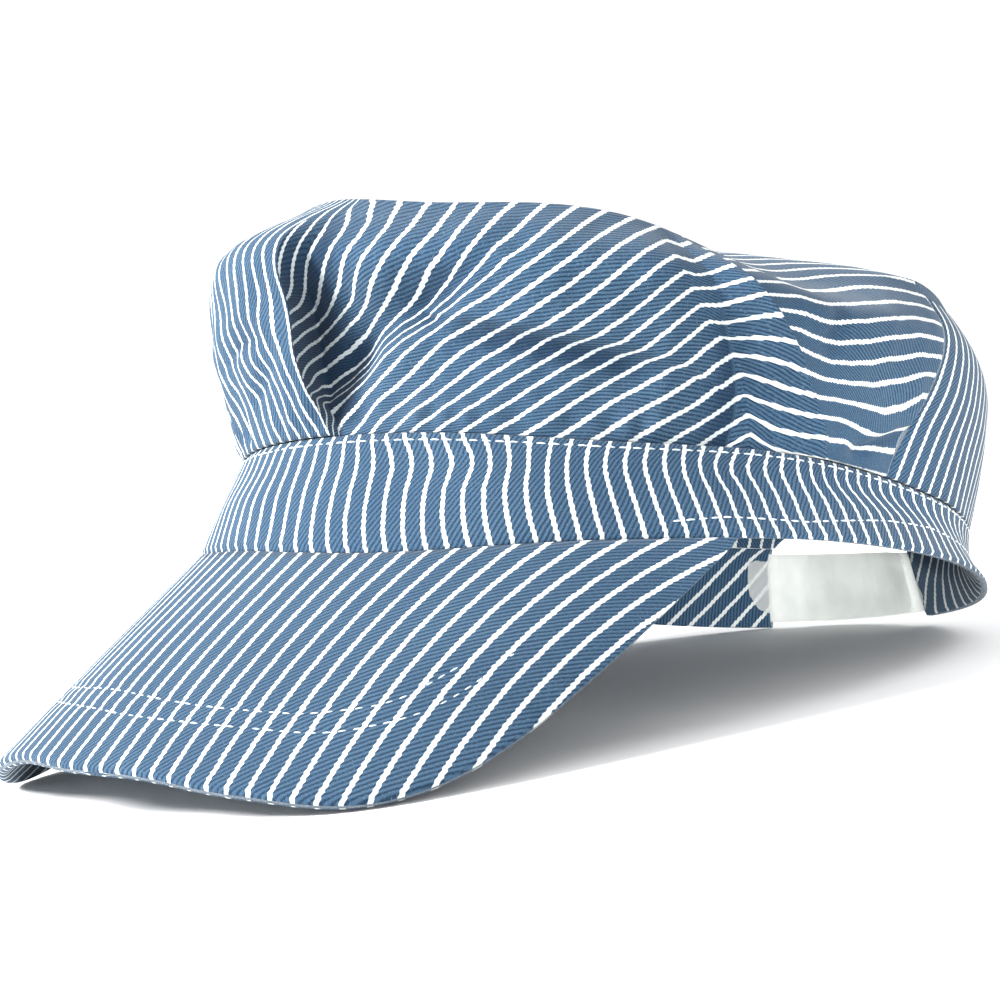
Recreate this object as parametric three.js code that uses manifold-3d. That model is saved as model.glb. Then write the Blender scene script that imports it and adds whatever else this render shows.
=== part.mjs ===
import * as THREE from 'three';
import Module from 'manifold-3d';

// Railroad engineer cap. Lengths in millimetres, angles in degrees.
// The cap is drawn with the rim of its band level, the peak toward -Y and the wearer's left toward +X,
// and is then tipped back until it rests on the peak's corners and the back of the band.
// An angle round the head starts at the front centre and grows toward the wearer's left.

// Driving sizes
const HEAD_WIDTH = 166.4;       // across the outside of the band's lower edge
const HEAD_LENGTH = 197;        // front to back, same edge
const BAND_HEIGHT = 27;
const BAND_WALL = 2.4;
const BAND_END_WALL = 3.4;      // the folded hem at each end of the band
const OPENING_HALF_ANGLE = 18.5; // half of the gap in the band at the back
const CROWN_RISE = 50;          // band seam to shoulder
const CROWN_BULGE = 8;          // how far the crown overhangs the seam
const CROWN_WALL = 2;
const FOLD_DEPTH = 8;           // deepest valley of the pleats
const TOP_DOME = 5.5;             // crown centre above the mean shoulder
const PEAK_REACH = 45;          // forward reach of the peak at the front centre
const PEAK_HALF_ANGLE = 66;     // where the peak's ends meet the band
const PEAK_SLOPE_DEG = 45;      // fall of the peak at its root
const PEAK_DROOP_DEG = 1;       // added fall at its outer edge
const PEAK_WALL = 3;
const STRAP_WIDTH = 17.4;
const STRAP_WALL = 1;
const STRAP_TAB_DEG = 5;        // how far each strap runs inside the band's end
const HOLE_RADIUS = 2;
const HOLE_COUNT = 5;
const HOLE_STEP_DEG = 4.4;
const ARCH_RISE = 9;            // height of the back opening above the band seam
const GAP = 0.3;                // clearance between neighbouring pieces

// Band: edge heights and lean as shares of BAND_HEIGHT
const BAND_SECTIONS = [
  // angle, lower edge, upper edge, lean inward, hollow at mid height
  [-165, 0.08, 0.84, 0.20, 0.00],
  [-140, 0.08, 0.88, 0.19, 0.00],
  [-110, 0.16, 0.88, 0.22, 0.00],
  [-75, 0.19, 0.92, 0.30, 0.00],
  [-40, 0.13, 0.92, 0.31, 0.00],
  [-10, 0.04, 0.91, 0.31, 0.00],
  [20, -0.04, 0.92, 0.42, 0.00],
  [50, 0.10, 0.87, 0.31, 0.00],
  [80, 0.25, 0.93, 0.36, 0.05],
  [110, 0.27, 0.79, 0.19, 0.08],
  [140, 0.17, 0.68, 0.19, 0.06],
  [170, 0.12, 0.79, 0.22, 0.00],
];

// Crown wall: rise as a share of CROWN_RISE, overhangs as shares of CROWN_BULGE
const CROWN_SECTIONS = [
  // angle, rise, low overhang, mid overhang, high overhang, shoulder overhang
  [-165, 0.88, 0.35, 0.50, 0.50, -0.40],
  [-140, 0.90, 0.35, 0.60, 0.60, -0.40],
  [-110, 0.97, 0.45, 0.85, 0.74, -0.50],
  [-75, 0.98, 0.53, 1.03, 0.76, -0.54],
  [-40, 1.05, 0.48, 0.92, 0.62, -0.55],
  [-10, 1.09, 0.41, 0.76, 1.14, -1.15],
  [20, 0.98, 0.47, 1.00, 1.05, -0.82],
  [50, 0.99, 0.50, 1.08, 1.16, -0.82],
  [80, 0.86, 0.50, 0.93, 1.30, -1.15],
  [107, 1.00, 0.38, 0.60, 0.42, -0.65],
  [140, 0.82, 0.15, 0.30, 0.46, -0.40],
  [170, 0.84, 0.30, 0.42, 0.54, -0.30],
];

// Fold lines of the crown at five heights of the wall, seam to shoulder.
// Depths are shares of FOLD_DEPTH, inward positive; swell is the bulge of the cloth up to the next line.
const FOLD_LINES = [
  // columns to next, angles at the five heights, depths at the five heights, swell to next
  { steps: 10, angle: [-47, -43.5, -43, -43, -42], depth: [0, -0.10, -0.12, -0.08, 0], swell: 0.10 },
  { steps: 1, angle: [5, 1.5, 1, 0, -2], depth: [0, -0.14, -0.18, -0.10, 0], swell: 0 },
  { steps: 10, angle: [6, 4.2, 4, 3.6, 2], depth: [0.20, 0.85, 0.80, 0.45, 0], swell: -0.25 },
  { steps: 2, angle: [68.5, 70, 65.5, 60.5, 57], depth: [0.35, 0.70, 0.50, 0.28, 0], swell: 0 },
  { steps: 5, angle: [84, 78.5, 71.5, 64, 60], depth: [0, -0.18, -0.22, -0.15, 0], swell: 0.05 },
  { steps: 20, angle: [95, 96.5, 100, 103, 106], depth: [0, 0, 0, 0, 0], swell: 0.05 },
  { steps: 5, angle: [223, 221.5, 218, 215, 212], depth: [0, 0, 0, 0, 0], swell: 0.05 },
  { steps: 2, angle: [234, 239.5, 246.5, 254, 258], depth: [0, -0.18, -0.22, -0.15, 0], swell: 0 },
  { steps: 9, angle: [249.5, 248, 252.5, 257.5, 261], depth: [0.35, 0.60, 0.45, 0.25, 0], swell: -0.25 },
  { steps: 1, angle: [312, 313.8, 314, 314.4, 316], depth: [0.20, 0.80, 0.75, 0.40, 0], swell: 0 },
];

// Heights of the wall at which the crown is sectioned, and the rings that close its top
const FOLD_HEIGHTS = [0, 0.25, 0.5, 0.75, 1];
const WALL_ROWS = [0, 0.08, 0.18, 0.3, 0.42, 0.54, 0.66, 0.78, 0.9, 1];
const TOP_RINGS = [0.93, 0.82, 0.66, 0.48, 0.3, 0.14];
const BACK_TOP_ROW = 8;          // the back panel ends at this row of WALL_ROWS
const REAR_SEAM_LEFT = 5;        // fold lines that carry the two rear seams
const REAR_SEAM_RIGHT = 6;

// Peak: forward reach as a share of PEAK_REACH against the angle of attachment
const PEAK_SECTIONS = [
  // share of half angle, reach
  [0, 0.98],
  [0.23, 0.98],
  [0.45, 1.05],
  [0.68, 1.12],
  [0.8, 1.06],
  [0.88, 0.89],
  [0.94, 0.58],
  [0.98, 0.27],
  [1, 0.06],
];

const CLOTH_MIDDLE = 0x4f7496;
const CLOTH_LIGHT = 0x5d83a6;
const CLOTH_DARK = 0x44678a;
const STRAP_COLOUR = 0xd9ddd8;

const RAD = Math.PI / 180;
const mix = (from, to, share) => from + (to - from) * share;
const ease = (share) => share * share * (3 - 2 * share);
const clamp01 = (value) => Math.min(1, Math.max(0, value));

function hermite(x0, v0, m0, x1, v1, m1, x) {
  const h = x1 - x0;
  const f = (x - x0) / h;
  const f2 = f * f;
  const f3 = f2 * f;
  return (2 * f3 - 3 * f2 + 1) * v0 + (f3 - 2 * f2 + f) * h * m0
    + (3 * f2 - 2 * f3) * v1 + (f3 - f2) * h * m1;
}

// Smooth closed curve through one column of a table whose first column is an angle
function around(table, column) {
  const count = table.length;
  const angle = (i) => table[((i % count) + count) % count][0] + 360 * Math.floor(i / count);
  const value = (i) => table[((i % count) + count) % count][column];
  const tangent = (i) => (value(i + 1) - value(i - 1)) / (angle(i + 1) - angle(i - 1));
  return (degrees) => {
    let x = degrees;
    while (x >= angle(count)) x -= 360;
    while (x < angle(0)) x += 360;
    let i = 0;
    while (x >= angle(i + 1)) i += 1;
    return hermite(angle(i), value(i), tangent(i), angle(i + 1), value(i + 1), tangent(i + 1), x);
  };
}

// Smooth open curve through values given at rising places
function along(places, values, x) {
  const last = places.length - 1;
  const tangent = (i) => {
    const a = Math.max(0, i - 1);
    const b = Math.min(last, i + 1);
    return (values[b] - values[a]) / (places[b] - places[a]);
  };
  let i = 0;
  while (i < last - 1 && x >= places[i + 1]) i += 1;
  return hermite(places[i], values[i], tangent(i), places[i + 1], values[i + 1], tangent(i + 1), x);
}

function rim(degrees) {
  const sin = Math.sin(degrees * RAD);
  const cos = Math.cos(degrees * RAD);
  const point = [HEAD_WIDTH / 2 * sin, -HEAD_LENGTH / 2 * cos];
  const nx = sin / HEAD_WIDTH;
  const ny = -cos / HEAD_LENGTH;
  const size = Math.hypot(nx, ny);
  return { point, normal: [nx / size, ny / size] };
}

const bandLow = around(BAND_SECTIONS, 1);
const bandHigh = around(BAND_SECTIONS, 2);
const bandLean = around(BAND_SECTIONS, 3);
const bandHollow = around(BAND_SECTIONS, 4);

// A point of the band at a share of its height, sunk by depth from its outer face
function bandPoint(degrees, height, depth) {
  const { point, normal } = rim(degrees);
  const inset = BAND_HEIGHT * (bandLean(degrees) * height
    + bandHollow(degrees) * Math.sin(Math.PI * clamp01(height))) + depth;
  const z = BAND_HEIGHT * mix(bandLow(degrees), bandHigh(degrees), height);
  return [point[0] - normal[0] * inset, point[1] - normal[1] * inset, z];
}

const crownRise = around(CROWN_SECTIONS, 1);
const crownOverhang = [2, 3, 4, 5].map((column) => around(CROWN_SECTIONS, column));

function wallPoint(degrees, height, depth) {
  const { normal } = rim(degrees);
  const seam = bandPoint(degrees, 1, 0);
  const overhangs = [0, ...crownOverhang.map((column) => column(degrees))];
  const out = CROWN_BULGE * along(FOLD_HEIGHTS, overhangs, height) - depth;
  return [
    seam[0] + normal[0] * out,
    seam[1] + normal[1] * out,
    seam[2] + GAP + CROWN_RISE * crownRise(degrees) * height,
  ];
}

// Angle and fold depth of the crown's cloth at a fold line and a share of the way to the next
function foldAt(line, share, height) {
  const here = FOLD_LINES[line];
  const next = FOLD_LINES[(line + 1) % FOLD_LINES.length];
  const turn = line + 1 === FOLD_LINES.length ? 360 : 0;
  const angle = mix(along(FOLD_HEIGHTS, here.angle, height),
    along(FOLD_HEIGHTS, next.angle, height) + turn, share);
  const swell = here.swell * Math.sin(Math.PI * share) * Math.sin(Math.PI * clamp01(height));
  const depth = mix(along(FOLD_HEIGHTS, here.depth, height),
    along(FOLD_HEIGHTS, next.depth, height), share) - swell;
  return { angle, depth: depth * FOLD_DEPTH };
}

// Closed shell between two grids of points. Cells outside the mask are left open and edged.
function shell(outer, inner, { closed = false, mask = () => true, pole = null } = {}) {
  const rows = outer.length;
  const columns = outer[0].length;
  const positions = [];
  const ids = [outer, inner].map((grid) => grid.map((row) => row.map((point) => {
    positions.push(...point);
    return positions.length / 3 - 1;
  })));
  const [out, into] = ids;
  const triangles = [];
  const quad = (a, b, c, d) => triangles.push(a, b, c, a, c, d);
  const span = closed ? columns : columns - 1;
  const at = (grid, r, c) => grid[r][c % columns];
  const active = (r, c) => {
    if (r < 0 || r >= rows - 1) return false;
    if (!closed && (c < 0 || c >= span)) return false;
    return mask(r, ((c % columns) + columns) % columns);
  };
  for (let r = 0; r < rows - 1; r += 1) {
    for (let c = 0; c < span; c += 1) {
      if (!active(r, c)) continue;
      quad(at(out, r, c), at(out, r, c + 1), at(out, r + 1, c + 1), at(out, r + 1, c));
      quad(at(into, r, c), at(into, r + 1, c), at(into, r + 1, c + 1), at(into, r, c + 1));
      if (!active(r - 1, c)) quad(at(into, r, c), at(into, r, c + 1), at(out, r, c + 1), at(out, r, c));
      if (!active(r + 1, c) && !(pole && r === rows - 2)) {
        quad(at(out, r + 1, c), at(out, r + 1, c + 1), at(into, r + 1, c + 1), at(into, r + 1, c));
      }
      if (!active(r, c - 1)) quad(at(into, r, c), at(out, r, c), at(out, r + 1, c), at(into, r + 1, c));
      if (!active(r, c + 1)) {
        quad(at(out, r, c + 1), at(into, r, c + 1), at(into, r + 1, c + 1), at(out, r + 1, c + 1));
      }
    }
  }
  if (pole) {
    positions.push(...pole.outer, ...pole.inner);
    const top = positions.length / 3 - 2;
    for (let c = 0; c < span; c += 1) {
      triangles.push(at(out, rows - 1, c), at(out, rows - 1, c + 1), top);
      triangles.push(at(into, rows - 1, c + 1), at(into, rows - 1, c), top + 1);
    }
  }
  return { positions, triangles };
}

// Keeps only the points that triangles use
function compact({ positions, triangles }) {
  const place = new Map();
  const kept = [];
  const renumbered = triangles.map((id) => {
    if (!place.has(id)) {
      place.set(id, kept.length / 3);
      kept.push(positions[3 * id], positions[3 * id + 1], positions[3 * id + 2]);
    }
    return place.get(id);
  });
  return { positions: kept, triangles: renumbered };
}


// Half angle of the back opening at a height above the rim
function openingHalf(z) {
  const springing = BAND_HEIGHT * bandHigh(180) * 0.8;
  const crest = BAND_HEIGHT * bandHigh(180) + ARCH_RISE;
  const climb = clamp01((z - springing) / (crest - springing));
  return OPENING_HALF_ANGLE * Math.sqrt(1 - 0.93 * climb * climb);
}

// Band: one strip from hem to hem, thicker where its ends are folded over
const BAND_ROWS = [0, 0.08, 0.3, 0.6, 0.9, 1];
const BAND_COLUMNS = 76;

function bandWall(fromEnd) {
  return mix(BAND_END_WALL, BAND_WALL, ease(clamp01((fromEnd - STRAP_TAB_DEG - 1) / 4)));
}

function buildBand() {
  const outer = [];
  const inner = [];
  for (const height of BAND_ROWS) {
    const end = 180 - openingHalf(bandPoint(180, height, 0)[2]);
    const edge = Math.min(height, 1 - height) < 0.01 ? 0.35 : 0;
    const outerRow = [];
    const innerRow = [];
    for (let c = 0; c <= BAND_COLUMNS; c += 1) {
      const degrees = mix(-end, end, c / BAND_COLUMNS);
      const wall = bandWall(end - Math.abs(degrees));
      outerRow.push(bandPoint(degrees, height, edge));
      innerRow.push(bandPoint(degrees, height, wall - edge));
    }
    outer.push(outerRow);
    inner.push(innerRow);
  }
  return shell(outer, inner);
}

// Peak: rulings that run forward and down from the band's lower edge
const PEAK_COLUMNS = [
  0, 0.1, 0.2, 0.3, 0.4, 0.5, 0.59, 0.67, 0.74, 0.8, 0.85, 0.89, 0.925, 0.955, 0.98, 1,
];
const PEAK_ROWS = [0, 0.15, 0.32, 0.5, 0.68, 0.85, 0.96, 1];

function peakTop(side, outward) {
  const places = PEAK_SECTIONS.map((row) => row[0]);
  const reaches = PEAK_SECTIONS.map((row) => row[1]);
  const reach = PEAK_REACH * along(places, reaches, Math.abs(side));
  const root = bandPoint(side * PEAK_HALF_ANGLE, 0, 0);
  const run = reach * outward;
  const fall = Math.tan(PEAK_SLOPE_DEG * RAD) * run
    + Math.tan(PEAK_DROOP_DEG * RAD) * run * run / PEAK_REACH;
  return [root[0], root[1] - run, root[2] - GAP - fall];
}

function peakNormal(side) {
  const step = 0.004;
  const back = new THREE.Vector3(...peakTop(Math.max(-1, side - step), 0));
  const fore = new THREE.Vector3(...peakTop(Math.min(1, side + step), 0));
  const root = new THREE.Vector3(...peakTop(side, 0));
  const tip = new THREE.Vector3(...peakTop(side, 1));
  return tip.sub(root).cross(fore.sub(back)).normalize();
}

function buildPeak() {
  const sides = [...PEAK_COLUMNS.slice(1).reverse().map((share) => -share), ...PEAK_COLUMNS];
  const sheet = (outward, depth) => sides.map((side) => {
    const normal = peakNormal(side).toArray();
    return peakTop(side, outward).map((value, i) => value - normal[i] * depth);
  });
  const top = [];
  const under = [];
  for (const outward of [...PEAK_ROWS].reverse()) {
    const rounding = outward === 1 ? 0.5 : 0;
    top.push(sheet(outward, rounding));
    under.push(sheet(outward, PEAK_WALL - rounding));
  }
  return shell(top, under);
}

// Columns of the crown: every fold line followed by the steps to the next one
function crownColumns() {
  return FOLD_LINES.flatMap((fold, line) => (
    Array.from({ length: fold.steps }, (_, k) => ({ line, share: k / fold.steps }))
  ));
}

function crownPoint(column, height, sunk) {
  const { angle, depth } = foldAt(column.line, column.share, height);
  return wallPoint(angle, height, depth + sunk);
}

function buildCrown() {
  const columns = crownColumns();
  const mouth = columns.map((column) => column.line === REAR_SEAM_LEFT);
  const face = (sunk) => WALL_ROWS.map((height) => (
    columns.map((column) => crownPoint(column, height, sunk))
  ));
  const outer = face(0);
  const inner = face(CROWN_WALL);
  const shoulder = outer[outer.length - 1];
  const mean = (i) => shoulder.reduce((sum, point) => sum + point[i], 0) / shoulder.length;
  const centre = [mean(0), mean(1), mean(2)];
  const topPoint = (edge, ring, sunk) => [
    mix(centre[0], edge[0], ring),
    mix(centre[1], edge[1], ring),
    mix(centre[2], edge[2], ring * ring) + TOP_DOME * (1 - ring ** 6) - sunk,
  ];
  inner[inner.length - 1].forEach((point) => {
    point[2] -= CROWN_WALL / 2;
  });
  for (const ring of TOP_RINGS) {
    outer.push(shoulder.map((edge) => topPoint(edge, ring, 0)));
    inner.push(shoulder.map((edge) => topPoint(edge, ring, CROWN_WALL)));
  }
  return shell(outer, inner, {
    closed: true,
    mask: (row, c) => row >= BACK_TOP_ROW || !mouth[c],
    pole: { outer: topPoint(centre, 0, 0), inner: topPoint(centre, 0, CROWN_WALL) },
  });
}

// Back panel: between the rear seams, arched over the opening
const BACK_HEIGHTS = [0, 0.05, 0.1, 0.15, 0.2, 0.3, 0.42, 0.54, 0.66, 0.78, 0.9];
const BACK_SIDE_STEPS = 8;
const ARCH_STEPS = 6;

function buildBackPanel() {
  const crest = ARCH_RISE / (CROWN_RISE * crownRise(180));
  const seamGap = GAP / (HEAD_WIDTH / 2) / RAD;
  const heights = [...BACK_HEIGHTS];
  const archRow = heights.findIndex((height) => height >= crest);
  heights[archRow] = crest;
  heights[heights.length - 1] = WALL_ROWS[BACK_TOP_ROW] - GAP / CROWN_RISE;
  const outer = [];
  const inner = [];
  for (const height of heights) {
    const left = foldAt(REAR_SEAM_LEFT, 0, height).angle + seamGap;
    const right = foldAt(REAR_SEAM_RIGHT, 0, height).angle - seamGap;
    const half = openingHalf(wallPoint(180, Math.min(height, crest), 0)[2]);
    const spread = (from, to, steps) => (
      Array.from({ length: steps }, (_, k) => mix(from, to, k / steps))
    );
    const angles = [
      ...spread(left, 180 - half, BACK_SIDE_STEPS),
      ...spread(180 - half, 180 + half, ARCH_STEPS),
      ...spread(180 + half, right, BACK_SIDE_STEPS),
      right,
    ];
    const swell = (degrees) => FOLD_DEPTH * 0.05 * Math.sin(Math.PI * height)
      * Math.sin(Math.PI * (degrees - left) / (right - left));
    outer.push(angles.map((degrees) => wallPoint(degrees, height, -swell(degrees))));
    inner.push(angles.map((degrees) => wallPoint(degrees, height, CROWN_WALL - swell(degrees))));
  }
  const isArch = (c) => c >= BACK_SIDE_STEPS && c < BACK_SIDE_STEPS + ARCH_STEPS;
  return shell(outer, inner, { mask: (row, c) => row >= archRow || !isArch(c) });
}

// Straps: plates that follow the band round the opening, one inside the other
const STRAP_STEPS = 22;
const STRAP_ROWS = [-1, -0.5, 0, 0.5, 1];
const STRAP_LAYER = STRAP_WALL + GAP;
const STRAP_MIDDLE = BAND_END_WALL / 2;
const STRAP_CORNER_DEG = 2.6;

function flip({ positions, triangles }) {
  const turned = [];
  for (let i = 0; i < triangles.length; i += 3) {
    turned.push(triangles[i], triangles[i + 2], triangles[i + 1]);
  }
  return { positions, triangles: turned };
}

function strapPlate({ fixedEnd, freeEnd, layer, clearance = 0, rounded = true }) {
  const bandTall = BAND_HEIGHT * (bandHigh(180) - bandLow(180));
  const half = Math.min(STRAP_WIDTH, bandTall * 0.86) / bandTall / 2;
  const turn = Math.sign(freeEnd - fixedEnd);
  const places = Array.from({ length: STRAP_STEPS + 1 }, (_, k) => (
    mix(fixedEnd, freeEnd, k / STRAP_STEPS)
  ));
  if (rounded) places.splice(-1, 0, freeEnd - turn * STRAP_CORNER_DEG * 0.3);
  const sheet = (face) => STRAP_ROWS.map((side) => places.map((degrees) => {
    const corner = rounded ? clamp01(1 - (freeEnd - degrees) * turn / STRAP_CORNER_DEG) : 0;
    const taper = mix(1, 0.6, 1 - Math.sqrt(1 - corner * corner));
    const height = 0.5 + side * (half * taper + clearance / bandTall);
    const depth = STRAP_MIDDLE + layer(degrees) + face * (STRAP_WALL / 2 + clearance);
    return bandPoint(degrees, height, depth);
  }));
  const plate = shell(sheet(-1), sheet(1));
  return turn > 0 ? plate : flip(plate);
}

// Round bar square to the straps at an angle, from one depth to another
function crossBar(degrees, radius, fromDepth, toDepth) {
  const sides = 10;
  const place = (turned, height) => new THREE.Vector3(...bandPoint(turned, height, 0));
  const across = place(degrees + 0.5, 0.5).sub(place(degrees - 0.5, 0.5)).normalize();
  const upward = place(degrees, 0.8).sub(place(degrees, 0.2)).normalize();
  const outward = across.clone().cross(upward).normalize();
  const origin = place(degrees, 0.5);
  const positions = [];
  for (const depth of [fromDepth, toDepth]) {
    for (let k = 0; k < sides; k += 1) {
      const angle = 2 * Math.PI * k / sides;
      const point = origin.clone()
        .addScaledVector(outward, -depth)
        .addScaledVector(across, radius * Math.cos(angle))
        .addScaledVector(upward, radius * Math.sin(angle));
      positions.push(point.x, point.y, point.z);
    }
  }
  const triangles = [];
  for (let k = 0; k < sides; k += 1) {
    const next = (k + 1) % sides;
    triangles.push(k + sides, next, k, k + sides, next + sides, next);
    if (k > 0 && k < sides - 1) triangles.push(0, k, k + 1, sides, sides + k + 1, sides + k);
  }
  return { positions, triangles };
}

const manifold = await Module();
manifold.setup();

function toManifold(body) {
  const { positions, triangles } = compact(body);
  return new manifold.Manifold(new manifold.Mesh({
    numProp: 3,
    vertProperties: new Float32Array(positions),
    triVerts: new Uint32Array(triangles),
  }));
}

function fromManifold(solid) {
  const mesh = solid.getMesh();
  return { positions: [...mesh.vertProperties], triangles: [...mesh.triVerts] };
}

function holeAngles() {
  const first = 178 - HOLE_STEP_DEG * (HOLE_COUNT - 1) / 2;
  return Array.from({ length: HOLE_COUNT }, (_, k) => first + k * HOLE_STEP_DEG);
}

function buildBodies() {
  const nearEnd = 180 - OPENING_HALF_ANGLE;
  const farEnd = 180 + OPENING_HALF_ANGLE;
  const middleLayer = () => 0;
  const insideLayer = (degrees) => STRAP_LAYER * ease(clamp01((farEnd - 1 - degrees) / 6));
  const pocket = { layer: middleLayer, clearance: GAP, rounded: false };
  const pockets = [
    { ...pocket, fixedEnd: nearEnd - STRAP_TAB_DEG - 0.25, freeEnd: nearEnd + 3 },
    { ...pocket, fixedEnd: farEnd + STRAP_TAB_DEG + 0.25, freeEnd: farEnd - 3 },
  ];
  const band = pockets.reduce(
    (solid, room) => solid.subtract(toManifold(strapPlate(room))),
    toManifold(buildBand()),
  );
  let strapOuter = toManifold(strapPlate({
    fixedEnd: nearEnd - STRAP_TAB_DEG, freeEnd: farEnd - 8, layer: middleLayer,
  }));
  let strapInner = toManifold(strapPlate({
    fixedEnd: farEnd + STRAP_TAB_DEG, freeEnd: nearEnd + 1.8, layer: insideLayer,
  }));
  const face = STRAP_MIDDLE - STRAP_WALL / 2;
  for (const degrees of holeAngles()) {
    const hole = crossBar(degrees, HOLE_RADIUS, face - 2, face + STRAP_WALL + GAP * 0.6);
    const peg = crossBar(degrees, HOLE_RADIUS - GAP * 1.4, face - 0.6, STRAP_MIDDLE + STRAP_LAYER);
    strapOuter = strapOuter.subtract(toManifold(hole));
    strapInner = strapInner.add(toManifold(peg));
  }
  return {
    visor: buildPeak(),
    band: fromManifold(band),
    crown: buildCrown(),
    back_panel: buildBackPanel(),
    strap_inner: fromManifold(strapInner),
    strap_outer: fromManifold(strapOuter),
  };
}

// Tip, front to back and side to side, that brings the peak's corners and the band's back to one level
function restTurn(points) {
  const lowest = (turn, keep) => {
    const moved = new THREE.Vector3();
    return points.filter(keep).reduce(
      (low, point) => Math.min(low, moved.copy(point).applyQuaternion(turn).z),
      Infinity,
    );
  };
  const turn = new THREE.Quaternion();
  const settle = (axis, isFirst, isSecond) => {
    let low = -0.6;
    let high = 0.6;
    for (let k = 0; k < 30; k += 1) {
      const middle = (low + high) / 2;
      const trial = new THREE.Quaternion().setFromAxisAngle(axis, middle).multiply(turn);
      if (lowest(trial, isFirst) < lowest(trial, isSecond)) low = middle;
      else high = middle;
    }
    turn.premultiply(new THREE.Quaternion().setFromAxisAngle(axis, (low + high) / 2));
  };
  for (let k = 0; k < 4; k += 1) {
    settle(new THREE.Vector3(-1, 0, 0), (p) => p.y < 0, (p) => p.y > 0);
    settle(new THREE.Vector3(0, -1, 0), (p) => p.y < 0 && p.x > 0, (p) => p.y < 0 && p.x < 0);
  }
  return turn;
}

function bodyPoints({ positions }) {
  return Array.from({ length: positions.length / 3 }, (_, i) => (
    new THREE.Vector3(...positions.slice(3 * i, 3 * i + 3))
  ));
}

function buildCap() {
  const bodies = buildBodies();
  const points = Object.values(bodies).flatMap(bodyPoints);
  const turn = restTurn(points);
  const box = new THREE.Box3();
  points.forEach((point) => box.expandByPoint(point.clone().applyQuaternion(turn)));
  const middle = box.getCenter(new THREE.Vector3());
  const colours = {
    visor: CLOTH_MIDDLE,
    band: CLOTH_MIDDLE,
    crown: CLOTH_LIGHT,
    back_panel: CLOTH_DARK,
    strap_inner: STRAP_COLOUR,
    strap_outer: STRAP_COLOUR,
  };
  const cap = new THREE.Group();
  cap.name = 'railroad_engineer_cap';
  for (const [name, body] of Object.entries(bodies)) {
    const { positions, triangles } = compact(body);
    const geometry = new THREE.BufferGeometry();
    geometry.setAttribute('position', new THREE.Float32BufferAttribute(positions, 3));
    geometry.setIndex(triangles);
    geometry.applyQuaternion(turn);
    geometry.translate(-middle.x, -middle.y, -box.min.z);
    geometry.computeVertexNormals();
    const material = new THREE.MeshStandardMaterial({
      color: colours[name],
      roughness: colours[name] === STRAP_COLOUR ? 0.45 : 0.95,
      metalness: 0,
    });
    const mesh = new THREE.Mesh(geometry, material);
    mesh.name = name;
    cap.add(mesh);
  }
  return cap;
}

export default buildCap();
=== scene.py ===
import math

import bpy
import numpy as np
from mathutils import Matrix, Quaternion, Vector


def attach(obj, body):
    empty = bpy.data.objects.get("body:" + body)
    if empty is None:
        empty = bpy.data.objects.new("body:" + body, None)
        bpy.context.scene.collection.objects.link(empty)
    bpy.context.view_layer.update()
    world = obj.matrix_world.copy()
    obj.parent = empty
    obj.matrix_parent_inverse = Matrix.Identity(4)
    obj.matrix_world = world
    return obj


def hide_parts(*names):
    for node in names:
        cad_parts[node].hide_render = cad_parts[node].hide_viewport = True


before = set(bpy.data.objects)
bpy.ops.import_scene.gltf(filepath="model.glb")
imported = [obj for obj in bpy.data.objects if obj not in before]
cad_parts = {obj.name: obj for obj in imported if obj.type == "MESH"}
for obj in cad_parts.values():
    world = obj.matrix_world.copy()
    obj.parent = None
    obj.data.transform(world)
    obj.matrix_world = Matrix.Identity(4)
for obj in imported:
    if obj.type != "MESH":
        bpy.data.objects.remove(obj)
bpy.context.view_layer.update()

# Sizes of the cap in millimetres, drawn with the rim level and then tipped to rest as the CAD is
HEAD_WIDTH = 166.4
HEAD_LENGTH = 197.0
BAND_HEIGHT = 27.0
BAND_WALL = 2.4
OPENING_HALF_ANGLE = 18.5
ARCH_RISE = 9.0
ARCH_SPRINGING = 0.8  # share of the band's height where the back opening starts to close
ARCH_ROUND = 0.93     # 1 would bring its sides together at the crest
CROWN_RISE = 50.0
CROWN_BULGE = 8.0
FOLD_DEPTH = 8.0
TOP_DOME = 3.0
PEAK_REACH = 45.0
PEAK_HALF_ANGLE = 66.0
PEAK_SLOPE_DEG = 45.0
PEAK_DROOP_DEG = 1.0
PEAK_WALL = 3.0
STRIPE_PITCH = 4.19
GAP = 0.3
# From the level rim to the resting cap: turn as a quaternion (w, x, y, z), and shift
REST_TURN = (0.992693822, -0.120501235, -0.006150079, -0.000778253)
REST_SHIFT = (-0.577092, 20.912712, 20.567742)

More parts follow.
